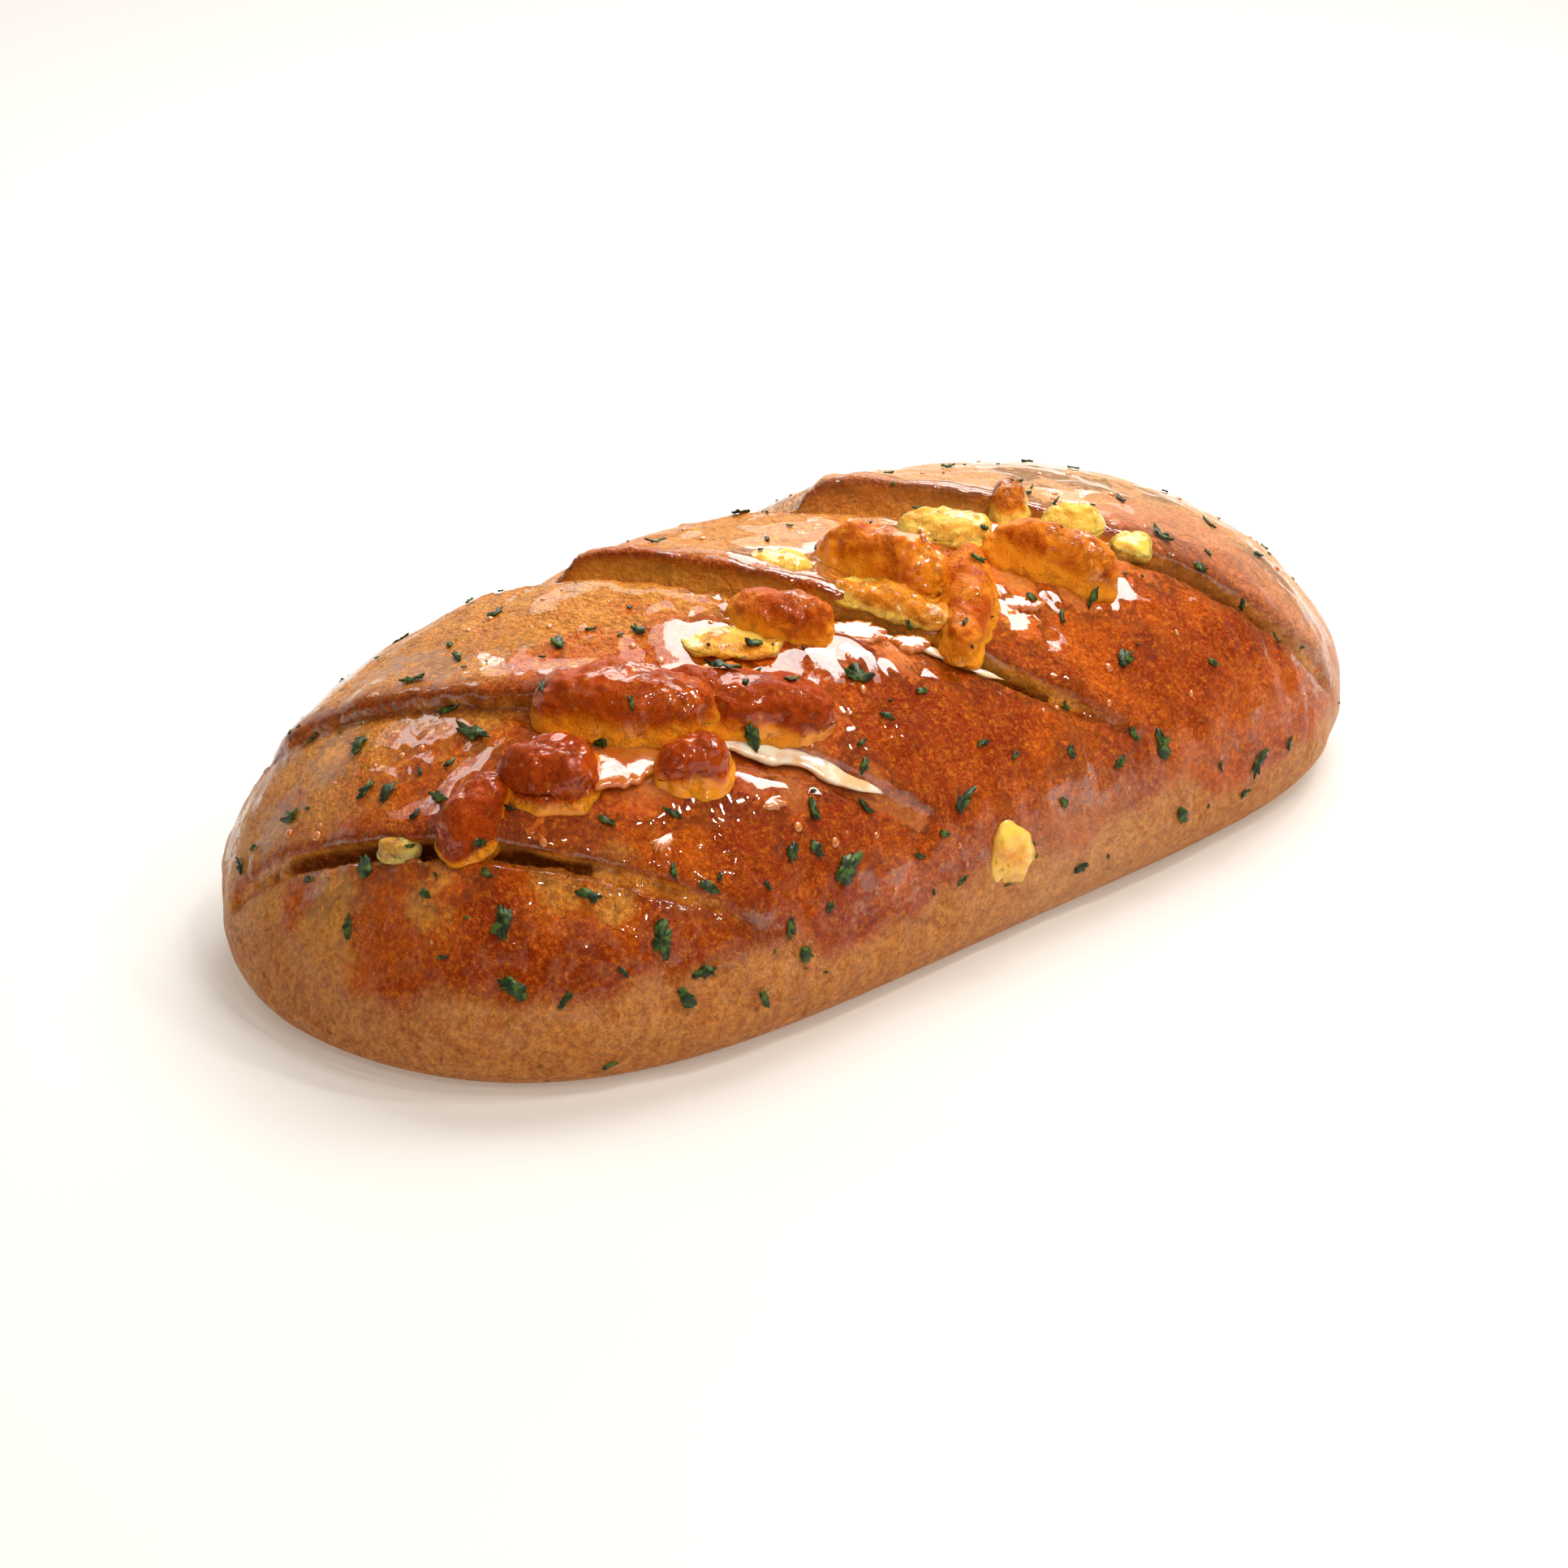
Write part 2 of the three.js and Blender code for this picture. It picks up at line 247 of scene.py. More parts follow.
def keep(piece, attribute, values):
    """Stores one number per vertex, which the piece's finish reads."""
    layer = piece.data.attributes.new(attribute, "FLOAT", "POINT")
    layer.data.foreach_set("value", np.clip(values, 0, 1).astype(np.float32))


def modify(piece, kind, **settings):
    """Adds a modifier and applies it."""
    bpy.ops.object.select_all(action="DESELECT")
    piece.select_set(True)
    bpy.context.view_layer.objects.active = piece
    bpy.ops.object.modifier_add(type=kind)
    modifier = piece.modifiers[-1]
    for setting, value in settings.items():
        setattr(modifier, setting, value)
    bpy.ops.object.modifier_apply(modifier=modifier.name)


def finish_piece(piece, material, slot, *nodes):
    piece.data.materials.clear()
    piece.data.materials.append(material)
    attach(piece, "root")
    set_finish(piece, slot)
    if nodes:
        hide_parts(*nodes)


# ------------------------------------------------------------------ the slashes


def slash_line(slash):
    """Places along a slash's near lip, and there the ways along it, across it and out of the crust."""
    path = np.array(slash["path"], float)
    chord = np.r_[0, np.cumsum(np.linalg.norm(np.diff(path, axis=0), axis=1))]
    along = np.linspace(0, chord[-1], STATIONS)
    x, y = (np.polynomial.Polynomial.fit(chord, path[:, k], 4)(along) for k in range(2))
    foot = np.stack([x, y, crust_height(x, y)], 1)
    out = crust_normal(x, y)
    run = unit(np.gradient(foot, axis=0))
    across = unit(np.cross(out, run))
    share = along / chord[-1]
    taper = np.sqrt(np.sin(math.pi * (0.01 + 0.98 * share)))
    wide = (slash["back"] + (slash["front"] - slash["back"]) * share) * (0.4 + 0.6 * taper)
    return {"foot": foot, "across": across, "out": out, "share": share, "taper": taper, "wide": wide}


def slash_blade(number, slash):
    """The solid that a slash takes out of the loaf: a wedge that leans back under its near lip."""
    line = slash_line(slash)
    stands = 8

    def place(down, turn):
        station = down * (STATIONS - 1)
        pick = lambda values: np.stack(
            [np.interp(station, range(STATIONS), values[:, k]) for k in range(values.shape[1])], 1
        )
        wide = np.interp(station, range(STATIONS), line["wide"])
        deep = slash["depth"] * np.interp(station, range(STATIONS), line["taper"])
        lean = LEAN * deep
        corners = (
            (wide + 1.2, stands + 0 * deep), (wide, 0 * deep), (0.75 * wide - 0.3 * lean, -0.6 * deep),
            (0.2 * wide - lean, -deep), (-lean - 0.3, -0.95 * deep), (-0.75 * lean, -0.6 * deep),
            (0 * deep, -1 + 0 * deep), (-1.2 + 0 * deep, 1.2 + 0 * deep), (-4 + 0 * deep, stands + 0 * deep),
        )
        around = turn * len(corners)
        side = np.zeros(len(down))
        up = np.zeros(len(down))
        for k, corner in enumerate(corners):
            weight = np.clip(1 - np.abs((around - k + 4.5) % len(corners) - 4.5), 0, 1)
            side += weight * corner[0]
            up += weight * corner[1]
        pole = np.minimum(down, 1 - down) < 1e-6
        side, up = np.where(pole, 0, side), np.where(pole, 1.0, up)
        return pick(line["foot"]) + side[:, None] * pick(line["across"]) + up[:, None] * pick(line["out"])

    return shaped_ball(f"slash_blade_{number}", 36, STATIONS // 2, place)


def nearest_on(line, at):
    """For each point: how far along, across and out of the crust it lies from a slash's near lip."""
    found = np.empty(len(at), int)
    for first in range(0, len(at), 4000):
        gap = at[first : first + 4000, None, :] - line["foot"][None]
        gap = (gap**2).sum(2)
        found[first : first + 4000] = gap.argmin(1)
    offset = at - line["foot"][found]
    side = (offset * line["across"][found]).sum(1)
    up = (offset * line["out"][found]).sum(1)
    past = np.linalg.norm(offset - side[:, None] * line["across"][found] - up[:, None] * line["out"][found], axis=1)
    return found, side, up, past


# ------------------------------------------------------------------ settings


class LoafSettings(bpy.types.PropertyGroup):
    """Sizes and colours of the crust."""

    voxel: bpy.props.FloatProperty(
        name="Mesh size", description="Size of the facets of the crust", default=0.95 * MM, min=0.5 * MM,
        subtype="DISTANCE", unit="LENGTH")
    ear: bpy.props.FloatProperty(
        name="Ears", description="How strongly the crust stands up along the far lip of each slash",
        default=1.0, min=0, subtype="FACTOR")
    dip: bpy.props.FloatProperty(
        name="Dips", description="How strongly the crust falls towards the near lip of each slash",
        default=1.0, min=0, subtype="FACTOR")
    gold: bpy.props.FloatVectorProperty(
        name="Golden crust", description="Colour of lightly baked crust", subtype="COLOR",
        default=(0.78, 0.31, 0.045), min=0, max=1)
    amber: bpy.props.FloatVectorProperty(
        name="Amber crust", description="Colour of well baked crust", subtype="COLOR",
        default=(0.62, 0.1, 0.0015), min=0, max=1)
    mahogany: bpy.props.FloatVectorProperty(
        name="Dark crust", description="Colour of the darkest glazed crust", subtype="COLOR",
        default=(0.36, 0.032, 0.0), min=0, max=1)
    tan: bpy.props.FloatVectorProperty(
        name="Side crust", description="Colour of the unglazed sides", subtype="COLOR",
        default=(0.72, 0.29, 0.075), min=0, max=1)
    crumb: bpy.props.FloatVectorProperty(
        name="Crumb", description="Colour of the moist walls of the slashes", subtype="COLOR",
        default=(1.0, 0.52, 0.09), min=0, max=1)


class CheeseSettings(bpy.types.PropertyGroup):
    """Colours of the cheese."""

    browned: bpy.props.FloatVectorProperty(
        name="Browned top", description="Colour of the browned tops", subtype="COLOR",
        default=(0.55, 0.085, 0.001), min=0, max=1)
    molten: bpy.props.FloatVectorProperty(
        name="Golden sides", description="Colour of the melted sides", subtype="COLOR",
        default=(0.9, 0.3, 0.012), min=0, max=1)
    yellow: bpy.props.FloatVectorProperty(
        name="Fresh melt", description="Colour of the yellow melt", subtype="COLOR",
        default=(0.94, 0.6, 0.1), min=0, max=1)


class HerbSettings(bpy.types.PropertyGroup):
    """Parsley."""

    leaf: bpy.props.FloatVectorProperty(
        name="Leaf", description="Colour of the parsley", subtype="COLOR",
        default=(0.01, 0.026, 0.003), min=0, max=1)
    seed: bpy.props.IntProperty(
        name="Seed", description="Changes the shapes of the leaf bits", default=11, min=0)


class StageSettings(bpy.types.PropertyGroup):
    """Camera."""

    azimuth: bpy.props.FloatProperty(
        name="Azimuth", description="Where the camera stands round the loaf", default=math.radians(-42.565),
        subtype="ANGLE", unit="ROTATION")
    elevation: bpy.props.FloatProperty(
        name="Elevation", description="How high the camera stands", default=math.radians(25),
        subtype="ANGLE", unit="ROTATION")
    distance: bpy.props.FloatProperty(
        name="Distance", description="From the camera to where it looks", default=0.5398,
        subtype="DISTANCE", unit="LENGTH")
    lens: bpy.props.FloatProperty(
        name="Lens", description="Focal length in millimetres on a 36 mm sensor", default=73.3, min=10)


# ------------------------------------------------------------------ finishes


def put(tree, kind, settings=None, **sockets):
    """Adds a node; a socket given as a value is set, and one given as another node's output is linked."""
    node = tree.nodes.new(kind)
    for setting, value in (settings or {}).items():
        setattr(node, setting, value)
    for name, value in sockets.items():
        connect(tree, node.inputs[name.replace("_", " ")], value)
    return node


def connect(tree, socket, value):
    if isinstance(value, bpy.types.NodeSocket):
        tree.links.new(value, socket)
    else:
        socket.default_value = value


def maths(tree, operation, a, b=0.0, clamp=False):
    node = put(tree, "ShaderNodeMath", {"operation": operation, "use_clamp": clamp})
    connect(tree, node.inputs[0], a)
    connect(tree, node.inputs[1], b)
    return node.outputs[0]


def between(tree, value, low, high):
    """0 where value is under low, 1 where it is over high, and an S between."""
    node = put(tree, "ShaderNodeMapRange", {"interpolation_type": "SMOOTHSTEP"}, Value=value)
    node.inputs["From Min"].default_value = low
    node.inputs["From Max"].default_value = high
    return node.outputs[0]


def mixed(tree, share, a, b, blend="MIX"):
    node = put(tree, "ShaderNodeMix", {"data_type": "RGBA", "blend_type": blend})
    connect(tree, node.inputs[0], share)
    for socket, value in ((node.inputs[6], a), (node.inputs[7], b)):
        connect(tree, socket, value if isinstance(value, bpy.types.NodeSocket) else (*value, 1))
    return node.outputs[2]


def noise(tree, coords, scale, detail=3.0, distortion=0.0, roughness=0.5):
    return put(tree, "ShaderNodeTexNoise", Vector=coords, Scale=scale, Detail=detail, Distortion=distortion,
               Roughness=roughness).outputs["Fac"]


def stored(tree, name):
    return put(tree, "ShaderNodeAttribute", {"attribute_name": name}).outputs["Fac"]


def bump(tree, height, distance, strength=1.0, normal=None):
    node = put(tree, "ShaderNodeBump", Height=height, Distance=distance, Strength=strength)
    if normal is not None:
        tree.links.new(normal, node.inputs["Normal"])
    return node.outputs[0]


def new_finish(name):
    material = bpy.data.materials.new(name)
    material.use_nodes = True
    tree = material.node_tree
    shader = tree.nodes["Principled BSDF"]
    coords = put(tree, "ShaderNodeTexCoord").outputs["Object"]
    return material, tree, shader, coords


def butter_group():
    """Melted butter: where it lies in a film, from how wet the place is, and the film's raised edge."""
    name = "melted_butter"
    if name in bpy.data.node_groups:
        return bpy.data.node_groups[name]
    tree = bpy.data.node_groups.new(name, "ShaderNodeTree")
    for socket in ("Place", "Wetness"):
        kind = "NodeSocketVector" if socket == "Place" else "NodeSocketFloat"
        tree.interface.new_socket(socket, in_out="INPUT", socket_type=kind)
    for socket in ("Film", "Thickness"):
        tree.interface.new_socket(socket, in_out="OUTPUT", socket_type="NodeSocketFloat")
    given = tree.nodes.new("NodeGroupInput").outputs
    result = tree.nodes.new("NodeGroupOutput")
    broad = noise(tree, given["Place"], 120, 2, 0.4)
    fine = noise(tree, given["Place"], 480, 7, 0.8, 0.8)
    wander = maths(tree, "ADD", maths(tree, "MULTIPLY", broad, 0.8), maths(tree, "MULTIPLY", fine, 1.2))
    level = maths(tree, "SUBTRACT", maths(tree, "ADD", given["Wetness"], wander), 1.0)
    connect(tree, result.inputs["Film"], between(tree, level, 0.47, 0.53))
    edge = between(tree, level, 0.44, 0.54)
    rim = maths(tree, "MULTIPLY", edge, maths(tree, "SUBTRACT", 1.0, between(tree, level, 0.53, 0.75)))
    thick = maths(tree, "ADD", maths(tree, "MULTIPLY", edge, 0.6), maths(tree, "MULTIPLY", rim, 0.4))
    connect(tree, result.inputs["Thickness"], thick)
    return tree


def grain_group():
    """Fine baked grain: small bumps, pores and specks, from a place and how coarse the surface is."""
    name = "baked_grain"
    if name in bpy.data.node_groups:
        return bpy.data.node_groups[name]
    tree = bpy.data.node_groups.new(name, "ShaderNodeTree")
    tree.interface.new_socket("Place", in_out="INPUT", socket_type="NodeSocketVector")
    tree.interface.new_socket("Scale", in_out="INPUT", socket_type="NodeSocketFloat")
    for socket in ("Height", "Mottle", "Specks"):
        tree.interface.new_socket(socket, in_out="OUTPUT", socket_type="NodeSocketFloat")
    given = tree.nodes.new("NodeGroupInput").outputs
    result = tree.nodes.new("NodeGroupOutput")
    fine = noise(tree, given["Place"], maths(tree, "MULTIPLY", given["Scale"], 1500.0), 3, 0.3, 0.6)
    coarse = noise(tree, given["Place"], maths(tree, "MULTIPLY", given["Scale"], 420.0), 3, 0.5)
    height = maths(tree, "ADD", maths(tree, "MULTIPLY", fine, 0.45), maths(tree, "MULTIPLY", coarse, 0.55))
    connect(tree, result.inputs["Height"], height)
    mottle = noise(tree, given["Place"], maths(tree, "MULTIPLY", given["Scale"], 600.0), 5, 0.3, 0.7)
    connect(tree, result.inputs["Mottle"], between(tree, mottle, 0.32, 0.7))
    cells = put(tree, "ShaderNodeTexVoronoi", Vector=given["Place"], Randomness=1.0,
                Scale=maths(tree, "MULTIPLY", given["Scale"], 210.0)).outputs["Distance"]
    connect(tree, result.inputs["Specks"], maths(tree, "SUBTRACT", 1.0, between(tree, cells, 0.06, 0.2)))
    return tree


def use_group(tree, group, **sockets):
    node = put(tree, "ShaderNodeGroup", {"node_tree": group})
    for name, value in sockets.items():
        connect(tree, node.inputs[name], value)
    return node.outputs


def crust_finish(settings):
    """Baked crust: tan sides, golden back, red-brown glazed front, moist crumb in the slashes with painted shade deep
    in them and a faint painted glow, and painted sheen on the far end and low sides.
    """
    material, tree, shader, coords = new_finish("buttered_crust")
    grain = use_group(tree, grain_group(), Place=coords, Scale=1.0)
    butter = use_group(tree, butter_group(), Place=coords, Wetness=stored(tree, "wet"))
    bake, cut, lip = stored(tree, "bake"), stored(tree, "cut"), stored(tree, "lip")

    wander = noise(tree, coords, 75, 5, 0.8, 0.6)
    uneven = maths(tree, "MULTIPLY", maths(tree, "SUBTRACT", wander, 0.5), 0.95)
    speckle = maths(tree, "MULTIPLY", maths(tree, "SUBTRACT", grain["Mottle"], 0.5), 0.2)
    baked = maths(tree, "ADD", maths(tree, "ADD", bake, uneven), speckle, clamp=True)
    colour = mixed(tree, between(tree, baked, 0.22, 0.55), tuple(settings.gold), tuple(settings.amber))
    colour = mixed(tree, between(tree, baked, 0.6, 0.95), colour, tuple(settings.mahogany))
    streaks = put(tree, "ShaderNodeMapping", Vector=coords, Scale=(1, 1, 0.8), Rotation=(0, 0.5, 0)).outputs[0]
    streaky = maths(tree, "MULTIPLY", noise(tree, streaks, 500, 4, 0.3), 0.7)
    side = mixed(tree, between(tree, streaky, 0.25, 0.45), tuple(settings.tan), (0.57, 0.19, 0.045))
    glazed = maths(tree, "ADD", stored(tree, "glaze"), maths(tree, "MULTIPLY", uneven, 0.6))
    colour = mixed(tree, between(tree, glazed, 0.35, 0.85), side, colour)
    colour = mixed(tree, maths(tree, "MULTIPLY", lip, 0.85), colour, (0.4, 0.06, 0.005))
    veins = maths(tree, "ABSOLUTE", maths(tree, "SUBTRACT", noise(tree, coords, 120, 5, 1.4, 0.65), 0.5))
    vein = maths(tree, "MULTIPLY", between(tree, veins, 0.06, 0.0), 0.4)
    colour = mixed(tree, maths(tree, "MULTIPLY", vein, stored(tree, "glaze")), colour, (0.5, 0.11, 0.008))
    inner = mixed(tree, grain["Mottle"], tuple(settings.crumb), (1.0, 0.36, 0.03))
    # Painted shade: the crumb is darkened by the stored depth mask, deep in the slashes where shade falls.
    inner = mixed(tree, stored(tree, "depth"), inner, (0.3, 0.055, 0.004))
    inner = mixed(tree, maths(tree, "MULTIPLY", lip, 0.75), inner, (0.6, 0.11, 0.008))
    colour = mixed(tree, cut, colour, inner)
    # Painted light: the shallow crumb in the slashes glows faintly orange to lift the shade there; it is no lamp.
    painted_glow = maths(tree, "MULTIPLY", cut, maths(tree, "SUBTRACT", 1.0, stored(tree, "depth")))
    connect(tree, shader.inputs["Emission Color"], mixed(tree, painted_glow, (0, 0, 0), (1.0, 0.42, 0.05)))
    shader.inputs["Emission Strength"].default_value = 0.09
    shade = noise(tree, coords, 1100, 4, 0.2, 0.75)
    colour = mixed(tree, maths(tree, "MULTIPLY", between(tree, shade, 0.45, 0.62), 0.4), colour, (0.22, 0.024, 0.001))
    colour = mixed(tree, maths(tree, "MULTIPLY", between(tree, shade, 0.5, 0.32), 0.38), colour, (1.0, 0.36, 0.015))
    dark_specks = maths(tree, "MULTIPLY", grain["Specks"], 0.35)
    colour = mixed(tree, dark_specks, colour, (0.12, 0.02, 0.004))
    # Thick butter looks milky; the pale webs low on the sides are partly dried butter and partly painted sheen,
    # reflected light painted into the colour.
    sheen_web = maths(tree, "ABSOLUTE", maths(tree, "SUBTRACT", noise(tree, coords, 150, 4, 0.5), 0.5))
    sheen_web = maths(tree, "MULTIPLY", between(tree, sheen_web, 0.08, 0.0), stored(tree, "sheen_haze"))
    colour = mixed(tree, maths(tree, "MULTIPLY", sheen_web, 0.12), colour, (0.75, 0.42, 0.28))
    # Painted sheen: the far end and a pale band low on the sides are painted paler peach, standing in for reflected
    # light.
    colour = mixed(tree, maths(tree, "MULTIPLY", stored(tree, "milky_sheen"), 0.34), colour, (0.97, 0.64, 0.4))
    thick = maths(tree, "MULTIPLY", butter["Film"], between(tree, stored(tree, "wet"), 0.7, 1.0))
    colour = mixed(tree, maths(tree, "MULTIPLY", thick, 0.25), colour, (0.6, 0.3, 0.1))
    connect(tree, shader.inputs["Base Color"], colour)

    # Under the butter the grain is filled and smooth; elsewhere it breaks up the shine.
    bare = maths(tree, "SUBTRACT", 1.0, maths(tree, "MULTIPLY", butter["Film"], 0.78))
    relief = maths(tree, "MULTIPLY", grain["Height"], bare)
    blisters = noise(tree, coords, 170, 3, 0.6)
    relief = maths(tree, "ADD", relief, maths(tree, "MULTIPLY", maths(tree, "MULTIPLY", blisters, bare), 1.2))
    rough = bump(tree, relief, 2.4 * MM, 1.0)
    ripple = noise(tree, coords, 110, 1, 0.8)
    film = maths(tree, "ADD", butter["Thickness"], maths(tree, "MULTIPLY", ripple, 0.7))
    film = maths(tree, "ADD", film, maths(tree, "MULTIPLY", noise(tree, coords, 330, 4, 1.0, 0.6), 0.35))
    connect(tree, shader.inputs["Normal"], bump(tree, film, 0.9 * MM, 0.9, rough))
    wetted = maths(tree, "MULTIPLY", stored(tree, "glaze"), maths(tree, "SUBTRACT", 1.0, bare))
    skin = maths(tree, "MULTIPLY", stored(tree, "glaze"), 0.2)
    connect(tree, shader.inputs["Coat Weight"], maths(tree, "ADD", skin, maths(tree, "MULTIPLY", wetted, 0.82)))
    connect(tree, shader.inputs["Roughness"], maths(tree, "ADD", maths(tree, "MULTIPLY", bare, 0.25), 0.25))
    shader.inputs["Specular IOR Level"].default_value = 0.15
    shader.inputs["Specular Tint"].default_value = (1, 0.55, 0.25, 1)
    shader.inputs["Coat Roughness"].default_value = 0.03
    shader.inputs["Coat IOR"].default_value = 1.8
    shader.inputs["Subsurface Weight"].default_value = 0.12
    shader.inputs["Subsurface Radius"].default_value = (1.0, 0.35, 0.1)
    shader.inputs["Subsurface Scale"].default_value = 1.5 * MM
    return material


def cheese_finish(name, top, side, settings_scale=1.0):
    """Melted cheese: a browned, grainy, wet top over translucent golden sides."""
    material, tree, shader, coords = new_finish(name)
    grain = use_group(tree, grain_group(), Place=coords, Scale=1.5)
    butter = use_group(tree, butter_group(), Place=coords, Wetness=stored(tree, "wet"))
    uneven = maths(tree, "MULTIPLY", maths(tree, "SUBTRACT", noise(tree, coords, 200, 5, 0.9, 0.6), 0.5), 1.5)
    browned = between(tree, maths(tree, "ADD", stored(tree, "brown"), uneven), 0.2, 0.95)
    colour = mixed(tree, browned, side, top)
    burnt = between(tree, stored(tree, "brown"), 0.8, 1.0)
    darker = maths(tree, "ADD", maths(tree, "MULTIPLY", grain["Mottle"], 0.5), maths(tree, "MULTIPLY", burnt, 0.4))
    darker = maths(tree, "MULTIPLY", darker, browned)
    colour = mixed(tree, darker, colour, (0.26, 0.018, 0.001))
    paler = maths(tree, "MULTIPLY", grain["Specks"], 0.25)
    colour = mixed(tree, paler, colour, (0.85, 0.42, 0.06))
    connect(tree, shader.inputs["Base Color"], colour)
    bare = maths(tree, "SUBTRACT", 1.0, maths(tree, "MULTIPLY", butter["Film"], 0.8))
    relief = maths(tree, "MULTIPLY", grain["Height"], bare)
    connect(tree, shader.inputs["Normal"], bump(tree, relief, 1.4 * MM, 0.9))
    connect(tree, shader.inputs["Roughness"], maths(tree, "ADD", maths(tree, "MULTIPLY", bare, 0.3), 0.2))
    connect(tree, shader.inputs["Coat Weight"], maths(tree, "SUBTRACT", 1.0, maths(tree, "MULTIPLY", bare, 0.9)))
    shader.inputs["Specular IOR Level"].default_value = 0.15
    shader.inputs["Specular Tint"].default_value = (1, 0.55, 0.25, 1)
    shader.inputs["Coat IOR"].default_value = 1.5
    shader.inputs["Coat Roughness"].default_value = 0.04
    shader.inputs["Subsurface Weight"].default_value = 0.35
    shader.inputs["Subsurface Radius"].default_value = (1.0, 0.45, 0.1)
    shader.inputs["Subsurface Scale"].default_value = 2.5 * MM
    return material


def leaf_finish(settings):
    """Chopped parsley: dull to bright green with paler veins, wet with butter."""
    material, tree, shader, coords = new_finish("parsley_leaf")
    patch = noise(tree, coords, 700, 3, 0.5)
    bright = (0.07, 0.13, 0.015)
    colour = mixed(tree, between(tree, patch, 0.44, 0.62), tuple(settings.leaf), bright)
    dried = noise(tree, coords, 90, 2)
    colour = mixed(tree, between(tree, dried, 0.58, 0.72), colour, (0.02, 0.022, 0.008))
    connect(tree, shader.inputs["Base Color"], colour)
    veins = noise(tree, coords, 1500, 2, 1.0)
    connect(tree, shader.inputs["Normal"], bump(tree, veins, 0.2 * MM, 0.6))
    connect(tree, shader.inputs["Roughness"], maths(tree, "ADD", maths(tree, "MULTIPLY", patch, 0.3), 0.3))
    shader.inputs["Coat Weight"].default_value = 0.2
    shader.inputs["Specular IOR Level"].default_value = 0.25
    return material


# ------------------------------------------------------------------ the loaf


def loaf_outline():
    """Points spaced evenly round the loaf's outline in plan, and the ways out of it."""
    fine = np.linspace(0, 2 * math.pi, 4001)
    x = LENGTH / 2 * np.sign(np.cos(fine)) * np.abs(np.cos(fine)) ** (2 / PLAN_POWER)
    y = WIDTH / 2 * np.sin(fine)
    walked = np.r_[0, np.cumsum(np.hypot(np.diff(x), np.diff(y)))]
    even = np.linspace(0, walked[-1], 2001)
    edge = np.stack([np.interp(even, walked, x), np.interp(even, walked, y)], 1)
    way = unit(np.roll(edge[:-1], -1, 0) - np.roll(edge[:-1], 1, 0))
    out = np.stack([way[:, 1], -way[:, 0]], 1)
    return edge, np.vstack([out, out[:1]])


def plain_loaf():
    edge, out = loaf_outline()
    tuck_share = 0.18  # of the way from the belly's ring to the underside's middle

    def place(down, turn):
        where = turn * (len(edge) - 1)
        rim, way = (
            np.stack([np.interp(where, range(len(edge)), values[:, k]) for k in range(2)], 1)
            for values in (edge, out)
        )
        level = 1 - 2 * down
        reach = np.cos(np.clip(level, 0, 1) * math.pi / 2)[:, None]
        top = rim * reach
        height = np.where(level < 1e-4, belly(rim[:, 0]), crust_height(top[:, 0], top[:, 1]))
        low = np.clip(-level / tuck_share, 0, 1)
        inset = TUCK * (1 - np.sqrt(1 - low**2))
        middle = np.clip((-level - tuck_share) / (1 - tuck_share), 0, 1)[:, None]
        side = (rim - way * inset[:, None]) * (1 - middle)
        plan = np.where(level[:, None] >= 0, top, side)
        return np.column_stack([plan, np.where(level >= 0, height, belly(rim[:, 0]) * (1 - low))])

    return shaped_ball("loaf_crust", 240, 130, place)


# Where butter has gathered on the crust: middle in plan, how far it reaches, and how wet it is.
POOLS = (
    (-68, -31, 10, 1.0), (-77, -33, 7, 0.8), (-52, -41, 7, 0.9), (-40, -43, 6, 1.0), (-32, -47, 5, 1.0),
    (-33, -20, 6, 0.9), (-24, -30, 7, 0.9), (-14, -34, 9, 1.0), (-5, -39, 7, 0.8), (-3, -8, 6, 0.7),
    (19, -28, 8, 1.0), (28, -34, 8, 1.0), (38, -31, 8, 1.0), (46, -35, 6, 0.9), (12, -36, 6, 0.9),
    (22, -12, 8, 0.9), (-92, 14, 8, 0.7), (-74, 34, 12, 0.7), (-48, 38, 12, 0.8), (-8, 40, 12, 0.7),
    (-66, -34, 6, 1.1), (-70, -27, 5, 1.1), (-47, -44, 6, 1.0), (-57, -36, 5, 0.8), (58, 0, 20, 0.7),
    (78, -10, 14, 0.68), (-98, -4, 5, 0.6), (68, -32, 6, 0.6), (84, -20, 7, 0.5), (-84, -5, 5, 0.5), (-60, -8, 6, 0.4),
    (70, 15, 22, 0.74), (40, 25, 15, 0.62), (-104, -2, 8, 0.62), (-100, 16, 9, 0.72), (-88, 26, 10, 0.66),
    (60, -38, 12, 0.62), (84, -34, 14, 0.62), (36, -46, 9, 0.6), (98, -8, 12, 0.6), (44, -28, 8, 0.95),
)


# Where the crust baked darker: middle in plan and reach.
DARKER = ((-60, -46, 8), (-44, -48, 8), (27, -49, 9))


